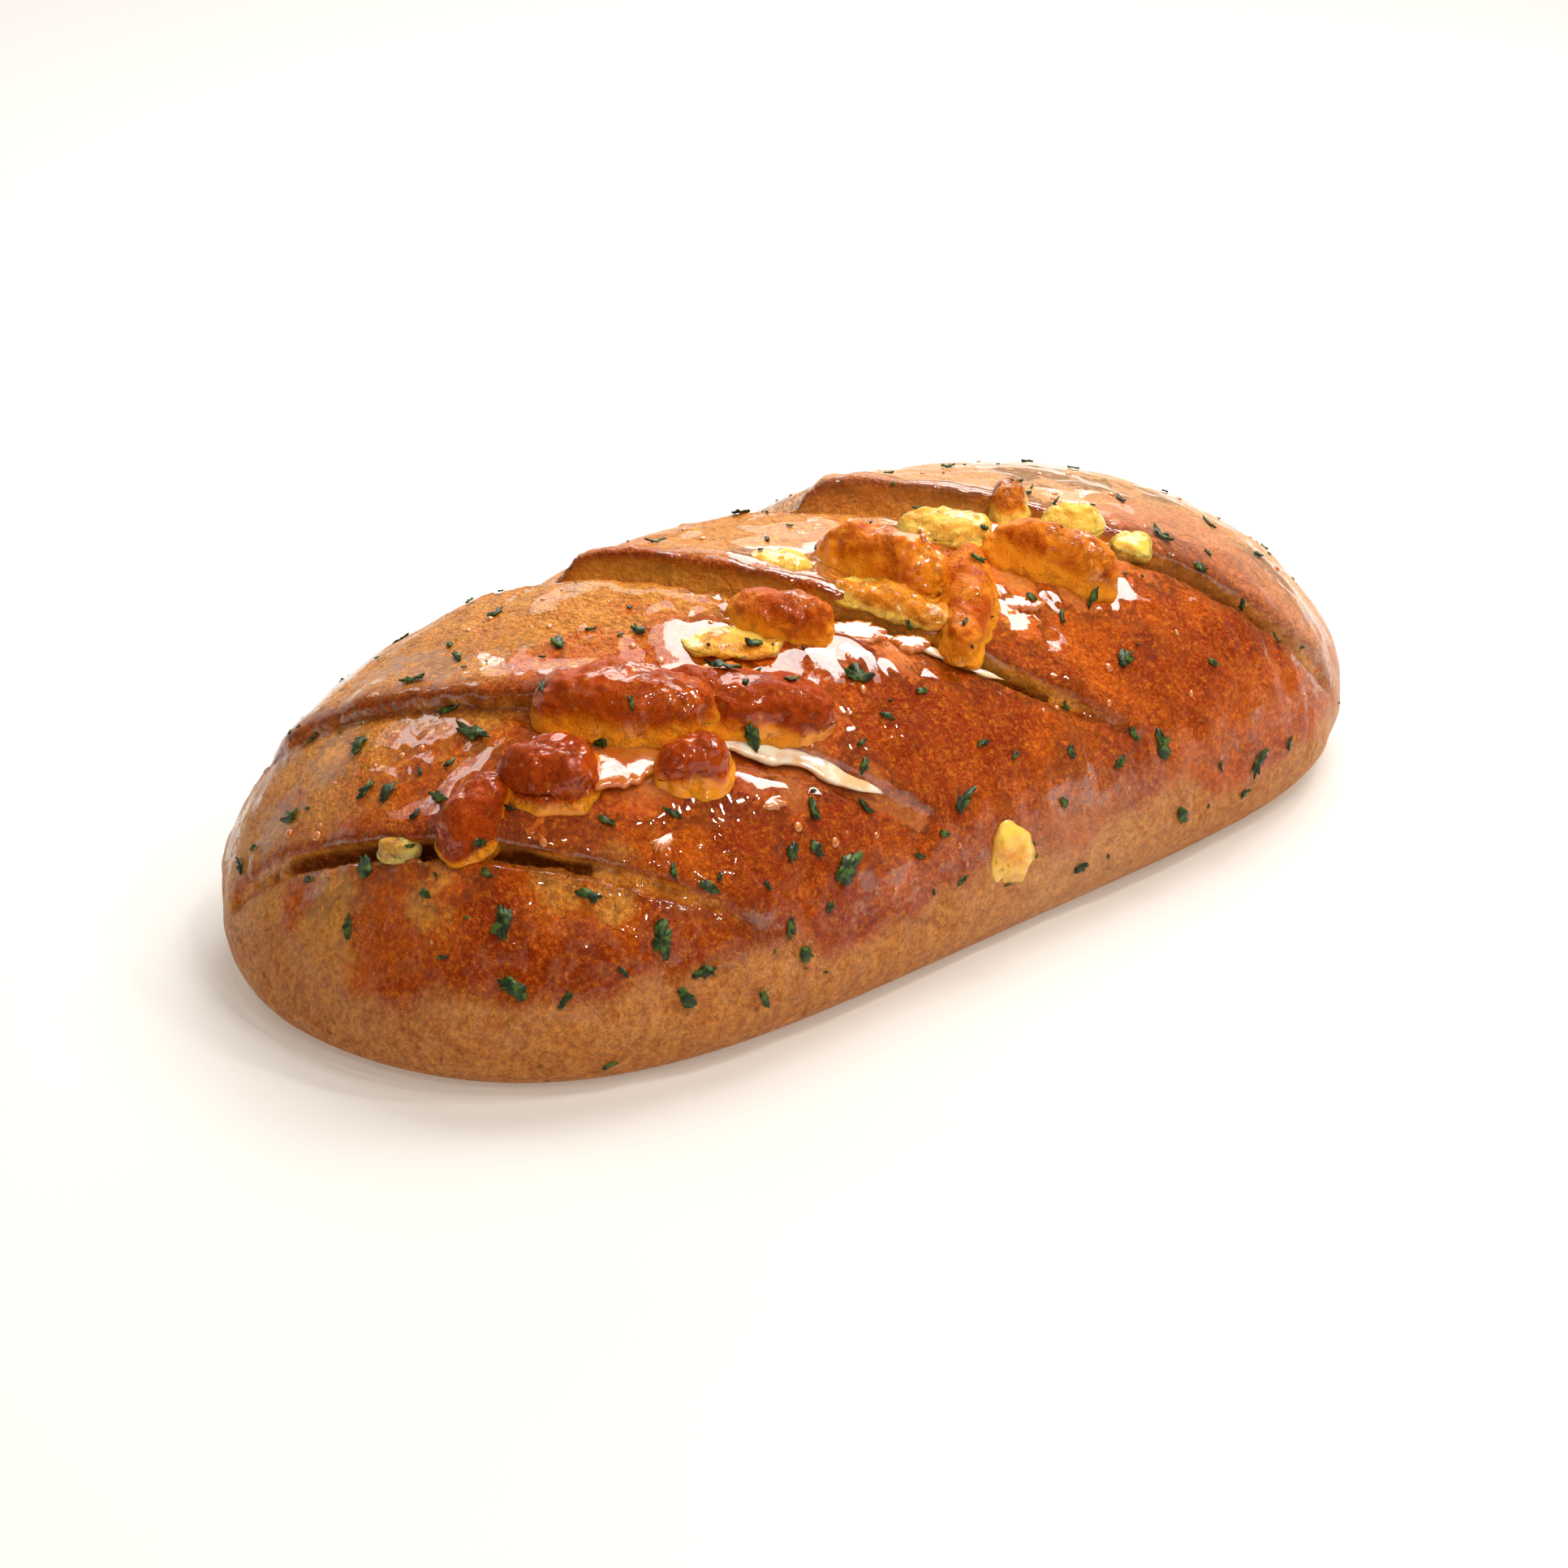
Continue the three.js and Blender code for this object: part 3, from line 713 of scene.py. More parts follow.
def sculpt_crust(piece, settings):
    """Raises the ears, swells the crust between the slashes, roughens it, and stores its finish, with painted shade in
    the slashes and painted sheen.
    """
    at = loaf_frame(piece)
    normal = vertex_normals(piece)
    x, y, z = at.T
    plain_out = crust_normal(x, y)
    sunk = (crust_height(x, y) - z) * plain_out[:, 2]  # depth under the plain crust
    upper = smooth(10, 20, z)
    move = np.zeros_like(at)
    cut = np.zeros(len(at))
    lip = np.zeros(len(at))
    deep = np.zeros(len(at))
    run_along = np.zeros(len(at))
    ragged = lumps(at, 5, 3, 2)
    for slash in SLASHES:
        line = slash_line(slash)
        found, side, up, past = nearest_on(line, at)
        wide, taper, share = line["wide"][found], line["taper"][found], line["share"][found]
        beside = smooth(5, 0, past)
        over = side - wide
        gone = smooth(slash["sunk_behind"] - 6, slash["sunk_behind"] + 5, line["foot"][found, 1])
        ear = slash["ear"] * settings.ear * taper * (1 - 0.85 * smooth(0.3, 0.75, share)) * (1 + 0.2 * ragged)
        rising = ear * (1 - gone) * np.exp(-((np.maximum(over, 0) / 7) ** 2)) * smooth(-3.0, 0.0, over)
        sinking = slash["sinks"] * gone * np.exp(-((np.maximum(over, 0) / 20) ** 2)) * smooth(-1.5, 0.0, over)
        dip = slash["dip"] * settings.dip * np.sqrt(taper) * smooth(0.3, 0.55, share)
        dip *= np.exp(-((np.minimum(side, 0) / 5) ** 2)) * smooth(1.5, -0.5, side)
        hold = smooth(-8, -1, up)
        move += ((rising - sinking - dip) * hold * beside)[:, None] * line["out"][found]
        hang = 0.5 * rising * np.exp(-((over / 3) ** 2)) * smooth(-2.5, -0.5, up)
        move -= (hang * beside)[:, None] * line["across"][found]
        inside = smooth(-0.3, -1.6, up) * smooth(-6, -4, side) * smooth(wide + 2.5, wide + 0.8, side) * beside
        inside *= smooth(0.3, 1.3, sunk) * smooth(0.15, 0.4, taper)
        cut = np.maximum(cut, inside)
        sinks_in = up / slash["depth"]
        narrow = smooth(6, 4.2, wide)  # where a slash is narrow, its inside is painted dark: painted shade
        slit_shade = narrow * smooth(-0.12, -0.4, sinks_in) + (1 - narrow) * 0.45 * smooth(-0.3, -0.75, sinks_in)
        deep = np.maximum(deep, slit_shade * inside)
        wetted = slash["butter"] * smooth(0.3, 0.5, share) * np.exp(-(((side + 1.5) / 3.2) ** 2)) * beside
        run_along = np.maximum(run_along, wetted * smooth(-3, -1, up))
        edge = np.minimum(np.abs(over) / 1.5, np.abs(side))
        lip = np.maximum(lip, np.exp(-((edge / 1.6) ** 2)) * smooth(-4, -0.5, up) * beside * smooth(0.1, 0.4, taper))
        wall = inside * smooth(-7, -2.5, up) * smooth(0.3, 0.8, side / wide)
        lip = np.maximum(lip, slash["browned"] * wall)
        crumbly = slash["torn"] * lumps(at, 2.6, 30, 2) * np.exp(-((side / 1.8) ** 2)) * smooth(-3, -1, up) * beside
        move += (crumbly * taper)[:, None] * (line["out"][found] - line["across"][found])
    crust = 1 - cut
    swell = 0.8 * lumps(at, 38, 5, 2) + 0.4 * lumps(at, 12, 6, 2)
    side = smooth(-28, -42, y) * smooth(6, 14, z)
    wrinkles = 0.4 * lumps(at * np.array([1, 0.25, 0.25]), 4, 9, 2) * side
    pits = 0.22 * lumps(at, 4.5, 7, 2) + wrinkles
    torn = 0.45 * lumps(at * np.array([1, 1, 1.6]), 3.2, 8, 2)
    fade = smooth(0.5, 8, z)
    move += normal * (((swell + pits) * crust + torn * cut) * fade)[:, None]
    at = at + move
    at[:, 2] = np.maximum(at[:, 2], 0)
    move_to(piece, at)

    facing = normal @ unit(np.array([-0.25, -0.93, 0.12]))
    wavy = 5.5 * lumps(at * np.array([1, 1, 0.4]), 13, 21, 3)
    glazed = smooth(8, 20, z + wavy)
    front = smooth(0.05, 0.6, facing)
    bake = 0.14 + 0.74 * front
    bake -= 0.12 * smooth(-45, -10, x + 0.55 * y) * front
    bake -= 0.14 * smooth(-100, -108, x)
    bake -= 0.2 * smooth(50, 85, x + 0.4 * y)
    for dark_x, dark_y, reach in DARKER:
        bake += 0.16 * np.exp(-((np.hypot(x - dark_x, y - dark_y) / reach) ** 2))
    bake += 0.16 * lumps(at, 15, 22, 2) + 0.12 * lumps(at, 6, 24, 2)
    for soaked_x, soaked_y, reach in ((-87, -35, 4.5), (-79.5, -41, 4.5), (-98, -22, 5)):
        gap = np.hypot(x - soaked_x, y - soaked_y) / reach + 0.35 * lumps(at, 4, 26, 2)
        bake -= 0.5 * np.exp(-(np.maximum(gap, 0) ** 4))
    wet = run_along
    for pool_x, pool_y, reach, amount in POOLS:
        gap = np.hypot(x - pool_x, y - pool_y) / reach
        wet = np.maximum(wet, amount * np.exp(-(gap**2)))
    wet = np.maximum(wet, 0.4 + 0.17 * lumps(at, 22, 23, 2))
    for (cheese_x, cheese_y), (length, width, _), turn, *_ in CHEESE.values():
        cos_t, sin_t = math.cos(math.radians(turn)), math.sin(math.radians(turn))
        run = (x - cheese_x) * cos_t + (y - cheese_y) * sin_t
        aside = (y - cheese_y) * cos_t - (x - cheese_x) * sin_t
        gap = np.hypot(run / (length / 2 + 3), aside / (width / 2 + 3))
        wet = np.maximum(wet, 0.64 * smooth(1.3, 0.95, gap))
    keep(piece, "bake", bake)
    keep(piece, "cut", cut)
    # depth holds the painted shade deep in the slashes; it also thins the glaze there.
    keep(piece, "depth", deep)
    keep(piece, "lip", lip)
    keep(piece, "wet", wet * upper)
    keep(piece, "glaze", np.maximum(glazed, 0.2) * (1 - 0.4 * deep))
    low_front = smooth(-20, -40, y) * smooth(5, 12, z) * smooth(34, 22, z) * crust
    # Painted sheen: past the fourth slash and along a pale band low on the sides the crust is stored to be painted
    # paler, standing in for reflected light.
    beyond = 0.66 * x + 0.75 * y - 20  # past the fourth slash
    pale_sheen_band = 0.5 * np.exp(-(((x - 8) / 22) ** 2)) * smooth(30, 15, z)
    keep(piece, "milky_sheen", np.maximum(smooth(-10, 4, beyond + 3 * lumps(at, 12, 27, 2)), pale_sheen_band))
    # Where the pale webs of painted sheen go: low on the front and at the end towards -X.
    keep(piece, "sheen_haze", np.maximum(low_front, 0.7 * smooth(-96, -106, x) * smooth(40, 25, z)))


class BAGUETTE_OT_loaf(bpy.types.Operator):
    """Builds the slashed, buttered loaf"""

    bl_idname = "baguette.loaf"
    bl_label = "Bake the loaf"

    def execute(self, context):
        settings = context.scene.baguette_loaf
        loaf = plain_loaf()
        for number, slash in enumerate(SLASHES, 1):
            blade = slash_blade(number, slash)
            modify(loaf, "BOOLEAN", operation="DIFFERENCE", solver="EXACT", object=blade)
            bpy.data.objects.remove(blade)
        modify(loaf, "REMESH", mode="VOXEL", voxel_size=settings.voxel, use_smooth_shade=True)
        modify(loaf, "SMOOTH", factor=0.5, iterations=3)
        sculpt_crust(loaf, settings)
        finish_piece(loaf, crust_finish(settings), "crust", "loaf")
        return {"FINISHED"}


# ------------------------------------------------------------------ the cheese

# Each piece: its middle in plan, its length, width and the height it stands, its turn and its tilt
# downwards along its length in degrees, how browned it is, and which finish it has.
CHEESE = {
    "cheese_stick_01": ((-89, -20), (15, 8.5, 5), 12, -34, 1.2, "browned"),
    "cheese_nub_02": ((-78, -24), (15, 11, 6.6), -49, 0, 1.6, "browned"),
    "cheese_nub_03": ((-59.5, -36), (11, 9, 5.8), -30, 0, 1.5, "browned"),
    "cheese_stick_04": ((-61, -22.5), (29, 13, 6.2), -44, 3, 0.75, "browned"),
    "cheese_stick_05": ((-44.5, -32), (28, 12, 5.6), -38, 10, 0.85, "browned"),
    "cheese_melt_06": ((-38, -21), (14, 10, 1.3), -46, 4, 0.5, "melted"),
    "cheese_nub_07": ((-28, -21.5), (16, 9.5, 6.2), -50, 5, 0.6, "browned"),
    "cheese_melt_08": ((-16, -8), (10, 8, 2.6), -52, 4, 0.2, "melted"),
    "cheese_stick_09": ((-2, -18), (22, 10.5, 7.4), -60, 8, 0.45, "browned"),
    "cheese_melt_10": ((-7, -25), (20, 8, 2.4), -54, 12, 0.7, "melted"),
    "cheese_bridge_11": ((5, -30.5), (27, 8.5, 5), 42, -18, 0.5, "browned"),
    "cheese_stick_12": ((18, -13), (15, 9, 3.6), -46, 4, 0.35, "melted"),
    "cheese_stick_13": ((28, -28), (23, 8.5, 6.4), -42, 14, 0.4, "browned"),
    "cheese_wedge_14": ((34, -12.5), (11, 6, 4.6), 40, 0, 0.8, "melted"),
    "cheese_melt_15": ((41.5, -20.5), (10, 5.5, 3.2), -26, 6, 0.0, "melted"),
    "cheese_melt_16": ((48.5, -28), (6, 4.6, 3.0), -38, 10, 0.0, "melted"),
}


def cheese_lump(name, middle, size, turn, tilt, browned, seed):
    """A softened baton: rounded, wrinkled, and spreading where it meets the crust."""
    x, y = middle
    length, width, stands = size
    foot = crust_height(np.array([float(x)]), np.array([float(y)]))[0]
    cos_t, sin_t = math.cos(math.radians(turn)), math.sin(math.radians(turn))
    cos_d, sin_d = math.cos(math.radians(tilt)), math.sin(math.radians(tilt))

    def place(down, turning):
        polar, round_it = down * math.pi, turning * 2 * math.pi
        ball = np.stack([np.cos(polar), np.sin(polar) * np.cos(round_it), np.sin(polar) * np.sin(round_it)], 1)
        square = np.sign(ball) * np.abs(ball) ** np.array([0.72, 0.85, 0.85])
        at = square * np.array([length / 2, width / 2, stands])
        waist = 1 + 0.12 * lumps(at * np.array([1, 0.3, 0.3]) + seed * 31.0, 6, seed, 1)
        at[:, 1] *= waist
        rough = 0.9 + 0.9 * max(0, 0.5 - browned)
        at[:, 2] += rough * lumps(at * np.array([1, 1, 0.4]) + seed * 13.0, 7, seed + 40, 2) * (at[:, 2] > 0)
        # tilt about Y, then turn about Z
        tilted = np.stack([cos_d * at[:, 0] + sin_d * at[:, 2], at[:, 1], cos_d * at[:, 2] - sin_d * at[:, 0]], 1)
        turned = np.stack(
            [cos_t * tilted[:, 0] - sin_t * tilted[:, 1], sin_t * tilted[:, 0] + cos_t * tilted[:, 1], tilted[:, 2]], 1
        )
        return turned + np.array([x, y, foot])

    lump = shaped_ball(name, 120, 96, place)
    at = loaf_frame(lump)
    normal = vertex_normals(lump)
    grainy = 0.42 * lumps(at, 3, seed + 60, 2) + 0.2 * lumps(at, 1.2, seed + 61, 1)
    above = at[:, 2] - crust_height(at[:, 0], at[:, 1])
    level = normal * np.array([1, 1, 0])
    at = at + unit(level) * (np.exp(-np.maximum(above, 0) / 1.3) * smooth(0.1, 0.5, np.linalg.norm(level, axis=1)))[:, None]
    wrinkled = 0.3 * lumps(at * np.array([1, 1, 0.35]), 2.4, seed + 62, 1) * smooth(0.75, 0.3, above / stands)
    move_to(lump, at + normal * (grainy + wrinkled)[:, None])
    keep(lump, "brown", 0.15 + browned * smooth(0.1, 0.75, above / stands + 0.25 * lumps(at, 8, seed + 64, 2)))
    soaked = 0.36 + 0.4 * max(0, 0.5 - browned) + (0.2 if browned > 1 else 0)
    keep(lump, "wet", soaked + 0.34 * lumps(at, 5, seed + 63, 2))
    return lump


class BAGUETTE_OT_cheese(bpy.types.Operator):
    """Melts the cheese onto the loaf"""

    bl_idname = "baguette.cheese"
    bl_label = "Melt the cheese"

    def execute(self, context):
        settings = context.scene.baguette_cheese
        finishes = {
            "browned": cheese_finish("browned_cheese", tuple(settings.browned), tuple(settings.molten)),
            "melted": cheese_finish("melted_cheese", tuple(settings.molten), tuple(settings.yellow)),
        }
        for seed, (node, (middle, size, turn, tilt, browned, finish)) in enumerate(CHEESE.items(), 1):
            lump = cheese_lump("melted_" + node, middle, size, turn, tilt, browned, seed)
            finish_piece(lump, finishes[finish], finish + "_cheese", node)
        low, high = (np.array(corner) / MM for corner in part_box("cheese_melt_17"))
        middle = (low + high) / 2 - np.array([LOAF_MIDDLE.x, LOAF_MIDDLE.y, 0]) / MM

        def place(down, turning):
            polar, round_it = down * math.pi, turning * 2 * math.pi
            at = np.stack([np.sin(polar) * np.cos(round_it), np.cos(polar), np.sin(polar) * np.sin(round_it)], 1)
            at = np.sign(at) * np.abs(at) ** 0.85 * np.array([4.6, 2.4, 5.6])
            return at * (1 + 0.28 * lumps(at, 4.5, 90, 2))[:, None] + middle + np.array([0, 1.5, 0])

        patch = shaped_ball("melted_cheese_melt_17", 64, 48, place)
        at = loaf_frame(patch)
        move_to(patch, at + vertex_normals(patch) * (0.45 * lumps(at, 3, 91, 2))[:, None])
        keep(patch, "brown", 0.35 + 0.35 * lumps(at, 5, 92, 1))
        keep(patch, "wet", np.full(len(at), 0.7))
        finish_piece(patch, finishes["melted"], "melted_cheese", "cheese_melt_17")
        return {"FINISHED"}


# Beads of butter along the near lips of the slashes: [slash, where it starts and ends along it from 0
# to 1, how wide it is, how far it stands out, and how far it lies from the lip].
BEADS = ((2, 0.5, 0.94, 1.9, 0.6, -1.2), (3, 0.66, 0.82, 1.0, 0.5, -1.2))

# Puddles of butter that lie nearly level: middle in plan, length, width, turn in degrees.
PUDDLES = (
    (-67, -29.5, 13, 8, 15), (-32.5, -20, 9, 6, -45), (24, -18, 14, 7, -45), (15, -33, 8, 4, -35),
    (-70, -41, 5, 2.5, 20), (-52, -44, 6, 3, -30), (-18, -28, 9, 5, -35), (-10, -33, 7, 4, -35),
)
LEVEL = np.array([-0.13, -0.31, 0.94])  # the way out of butter that has almost settled level


def butter_bead(number, bead):
    slash, start, end, wide, stands, lies = bead
    line = slash_line(SLASHES[slash - 1])
    out = unit(0.35 * line["out"] + 0.65 * LEVEL)
    run = unit(np.gradient(line["foot"], axis=0))
    across = unit(np.cross(out, run))

    def place(down, turn):
        station = (start + (end - start) * down) * (STATIONS - 1)
        foot, sideways, up = (
            np.stack([np.interp(station, range(STATIONS), values[:, k]) for k in range(3)], 1)
            for values in (line["foot"], across, out)
        )
        swell = np.sin(math.pi * down) ** 0.5 * (1 + 0.6 * lumps(foot, 4, 70 + number, 2))
        aside = lies + wide * swell * np.cos(turn * 2 * math.pi) + 0.9 * lumps(foot, 9, 80 + number, 1)
        level = np.sin(turn * 2 * math.pi)
        above = stands * swell * np.sign(level) * np.abs(level) ** 0.3 - 0.8
        return foot + aside[:, None] * sideways + above[:, None] * up

    return shaped_ball(f"butter_bead_{number}", 24, 80, place)


def butter_puddle(number, puddle):
    x, y, length, width, turn = puddle
    foot = np.array([x, y, crust_height(np.array([x]), np.array([y]))[0] - 0.2])
    cos_t, sin_t = math.cos(math.radians(turn)), math.sin(math.radians(turn))
    along = unit(np.cross(np.cross(LEVEL, [cos_t, sin_t, 0]), LEVEL))
    aside = np.cross(LEVEL, along)

    def place(down, turning):
        polar, round_it = down * math.pi, turning * 2 * math.pi
        rim = np.sin(polar) ** 0.6
        spot = np.stack([np.cos(round_it), np.sin(round_it), 0 * polar], 1) * 10
        rim = rim * (1 + 0.35 * lumps(spot, 7, 95 + number, 2) + 0.25 * lumps(spot, 2.4, 105 + number, 2))
        level = 0.8 * np.sign(np.cos(polar)) * np.abs(np.cos(polar)) ** 0.5
        return (
            foot
            + (rim * np.cos(round_it) * length / 2)[:, None] * along
            + (rim * np.sin(round_it) * width / 2)[:, None] * aside
            + level[:, None] * LEVEL
        )

    return shaped_ball(f"butter_puddle_{number}", 72, 32, place)


def butter_finish(name, clear, milky_sheen):
    """Melted butter that has run together: very shiny, with milky clouds; where both colours are pale cream, it is a
    painted highlight.
    """
    material, tree, shader, coords = new_finish(name)
    cloud = noise(tree, coords, 300, 3, 0.4)
    colour = mixed(tree, between(tree, cloud, 0.35, 0.65), clear, milky_sheen)
    connect(tree, shader.inputs["Base Color"], colour)
    connect(tree, shader.inputs["Normal"], bump(tree, noise(tree, coords, 350, 3), 0.5 * MM, 0.6))
    shader.inputs["Roughness"].default_value = 0.15
    shader.inputs["Coat Weight"].default_value = 1.0
    shader.inputs["Coat Roughness"].default_value = 0.04
    shader.inputs["Coat IOR"].default_value = 1.7
    shader.inputs["Subsurface Weight"].default_value = 0.5
    shader.inputs["Subsurface Radius"].default_value = (1.0, 0.6, 0.25)
    shader.inputs["Subsurface Scale"].default_value = 2 * MM
    return material


def butter_drops(tree, chance):
    """Small drops and bubbles of butter all over the crust and the cheese."""
    drops = []
    for _ in range(110):
        place, normal = ray_to(tree, chance.uniform(-104, 100), chance.uniform(40, 185))
        if place is None:
            continue
        bpy.ops.object.select_all(action="DESELECT")
        bpy.ops.mesh.primitive_uv_sphere_add(segments=10, ring_count=6, radius=1)
        drop = bpy.context.object
        wide = chance.uniform(0.25, 0.95) * MM
        along = normal.orthogonal().normalized()
        aside = normal.cross(along)
        at = coordinates(drop) * np.array([wide, wide * chance.uniform(0.6, 1.0), 0.5 * wide])
        at = at[:, :1] * np.array(along) + at[:, 1:2] * np.array(aside) + at[:, 2:] * np.array(normal)
        drop.data.vertices.foreach_set("co", (at + np.array(place)).astype(np.float32).ravel())
        drop.data.update()
        bpy.ops.object.shade_smooth()
        drops.append(drop)
    return joined(drops, "butter_drops")


def joined(pieces, name):
    """Makes one piece of many."""
    bpy.ops.object.select_all(action="DESELECT")
    for piece in pieces:
        piece.select_set(True)
    bpy.context.view_layer.objects.active = pieces[0]
    bpy.ops.object.join()
    pieces[0].name = pieces[0].data.name = name
    return pieces[0]


class BAGUETTE_OT_butter(bpy.types.Operator):
    """Runs beads of melted butter along the slashes"""

    bl_idname = "baguette.butter"
    bl_label = "Run the butter"

    def execute(self, context):
        finish = butter_finish("run_butter", (0.55, 0.12, 0.006), (0.6, 0.2, 0.03))
        pale_highlight_butter = butter_finish("butter_painted_highlight", (0.85, 0.5, 0.25), (0.95, 0.85, 0.7))
        # The beads are real butter, but their pale cream finish is a painted highlight standing in for the white
        # reflection along the slashes.
        for number, bead in enumerate(BEADS, 1):
            finish_piece(butter_bead(number, bead), pale_highlight_butter, "melted_cheese")
        for number, puddle in enumerate(PUDDLES, 1):
            finish_piece(butter_puddle(number, puddle), finish, "melted_cheese")
        drops = butter_drops(surface_seen(), np.random.default_rng(21))
        finish_piece(drops, finish, "melted_cheese")
        return {"FINISHED"}


class BAGUETTE_OT_garlic(bpy.types.Operator):
    """Adds the garlic crumb by the first slash"""

    bl_idname = "baguette.garlic"
    bl_label = "Add the garlic"

    def execute(self, context):
        crumb = cheese_lump("toasted_garlic_crumb", (-97.5, -11), (5, 3.8, 2.4), -50, 0, 0.5, 77)
        finish = cheese_finish("toasted_garlic", (0.6, 0.22, 0.02), (0.85, 0.6, 0.15))
        finish_piece(crumb, finish, "garlic", "garlic_crumb")
        return {"FINISHED"}


# ------------------------------------------------------------------ the parsley

# Smaller leaf bits: [x, angle round the loaf's heart from +Y over the top].
SCATTER = (
    (-103, 16), (-72, 113), (-67, 66), (-52, 95), (-86, 110), (-89, 104), (-93, 120), (-97, 130),
    (-104, 73), (-92, 142), (-82, 177), (-90, 181), (-61, 187), (-85, 196), (-93, 151), (-99, 151),
    (-102, 171), (-76, 149), (-86, 137), (-65, 129), (-46, 134), (-71, 162), (-67, 152), (-26, 74),
    (-11, 89), (-18, 97), (7, 121), (9, 126), (-9, 133), (-2, 138), (-15, 147), (-39, 137), (-31, 152),
    (-24, 149), (-7, 160), (-3, 164), (9, 167), (5, 175), (-34, 163), (-32, 156), (-21, 172), (-27, 174),
    (-48, 166), (-52, 165), (-57, 169), (-48, 176), (-56, 177), (-54, 182), (-19, 181), (-2, 182),
    (9, 188), (-38, 125), (46, 94), (42, 104), (44, 112), (31, 69), (29, 107), (16, 101), (21, 116),
    (37, 122), (39, 131), (60, 114), (77, 129), (81, 144), (59, 143), (51, 141), (65, 140), (18, 137),
    (22, 143), (48, 162), (24, 168), (14, 160), (43, 180), (65, 183), (19, 172), (69, 164), (51, 188),
    (65, 154), (-88, 40), (-70, 24), (-52, 48), (-36, 20), (-30, 52), (-12, 30), (2, 58), (18, 22),
    (34, 44), (46, 68), (58, 30), (72, 78), (84, 48), (92, 96), (96, 140), (90, 20), (-20, 8), (40, 6),
)


def surface_seen():
    """Everything that a leaf bit can lie on, as one tree to cast rays at."""
    points, faces = [], []
    for piece in bpy.data.objects:
        if piece.get("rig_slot") in ("crust", "browned_cheese", "melted_cheese", "garlic"):
            first = len(points)
            points.extend(v.co.copy() for v in piece.data.vertices)
            faces.extend([first + k for k in face.vertices] for face in piece.data.polygons)
    return BVHTree.FromPolygons(points, faces)


def leaf_bit(name, place, outwards, length, chance, corners=26):
    """A curled, ragged bit of leaf that lies on the surface at a place."""
    bpy.ops.object.select_all(action="DESELECT")
    bpy.ops.mesh.primitive_circle_add(vertices=corners, radius=1, fill_type="TRIFAN")
    bit = bpy.context.object
    bit.name = bit.data.name = name
    at = coordinates(bit)
    round_it = np.arctan2(at[:, 1], at[:, 0])
    rim = np.hypot(at[:, 0], at[:, 1])
    lobes = 1 + 0.12 * np.sin(round_it * chance.integers(2, 6) + chance.uniform(0, 6)) * rim
    teeth = chance.uniform(-0.35, 0.25, len(at))
    ragged = 1 + (teeth + np.roll(teeth, 1)) * 0.6 * rim
    flat = at[:, :2] * (lobes * ragged)[:, None] * np.array([length / 2, length * chance.uniform(0.15, 0.32)])
    curl = chance.uniform(-0.12, 0.22) * flat[:, 0] ** 2 / length * 1.6
    curl += chance.uniform(-0.3, 0.5) * flat[:, 1] ** 2 / length * 2
    curl += (teeth - np.roll(teeth, 2)) * 0.16 * length * rim
    x_way = outwards.orthogonal().normalized()
    y_way = outwards.cross(x_way)
    angle = chance.uniform(0, 2 * math.pi)
    along = math.cos(angle) * x_way + math.sin(angle) * y_way
    over = outwards.cross(along)
    lift = 0.22 - curl.min() * 0.6
    world = (
        np.array(place)
        + MM * (flat[:, :1] * np.array(along) + flat[:, 1:] * np.array(over)
                + (curl + lift)[:, None] * np.array(outwards))
    )
    bit.data.vertices.foreach_set("co", world.astype(np.float32).ravel())
    bit.data.update()
    modify(bit, "SOLIDIFY", thickness=0.22 * MM, offset=0)
    bpy.ops.object.shade_smooth()
    return bit


def ray_to(tree, x, angle):
    """The place on the surface at an angle round the loaf's heart, and the way out of it there."""
    way = Vector((0, math.cos(math.radians(angle)), math.sin(math.radians(angle))))
    heart = Vector((x * MM + LOAF_MIDDLE.x, LOAF_MIDDLE.y, HEART * MM))
    place, normal, _, _ = tree.ray_cast(heart + way * WIDTH * MM, -way)
    return place, normal


class BAGUETTE_OT_parsley(bpy.types.Operator):
    """Scatters the chopped parsley"""

    bl_idname = "baguette.parsley"
    bl_label = "Scatter the parsley"

    def execute(self, context):
        settings = context.scene.baguette_herb
        finish = leaf_finish(settings)
        tree = surface_seen()
        chance = np.random.default_rng(settings.seed)
        for node in sorted(n for n in frame["nodes"] if n.startswith("parsley")):
            low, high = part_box(node)
            centre = (low + high) / 2
            place, normal, _, _ = tree.find_nearest(centre)
            bit = leaf_bit(node.replace("parsley", "leaf"), place, normal, (high - low).length / MM * 0.8, chance)
            finish_piece(bit, finish, "parsley", node)
        bits = []
        for x, angle in SCATTER:
            place, normal = ray_to(tree, x + chance.uniform(-0.8, 0.8), angle)
            bits.append(leaf_bit("leaf_bit", place, normal, chance.uniform(1.6, 3.4), chance))
        for _ in range(90):
            place, normal = ray_to(tree, chance.uniform(-104, 104), chance.uniform(5, 190))
            if place is not None:
                bits.append(leaf_bit("leaf_crumb", place, normal, chance.uniform(0.6, 1.3), chance, 12))
        scatter = joined(bits, "leaf_scatter")
        finish_piece(scatter, finish, "parsley")
        return {"FINISHED"}


# ------------------------------------------------------------------ the stage


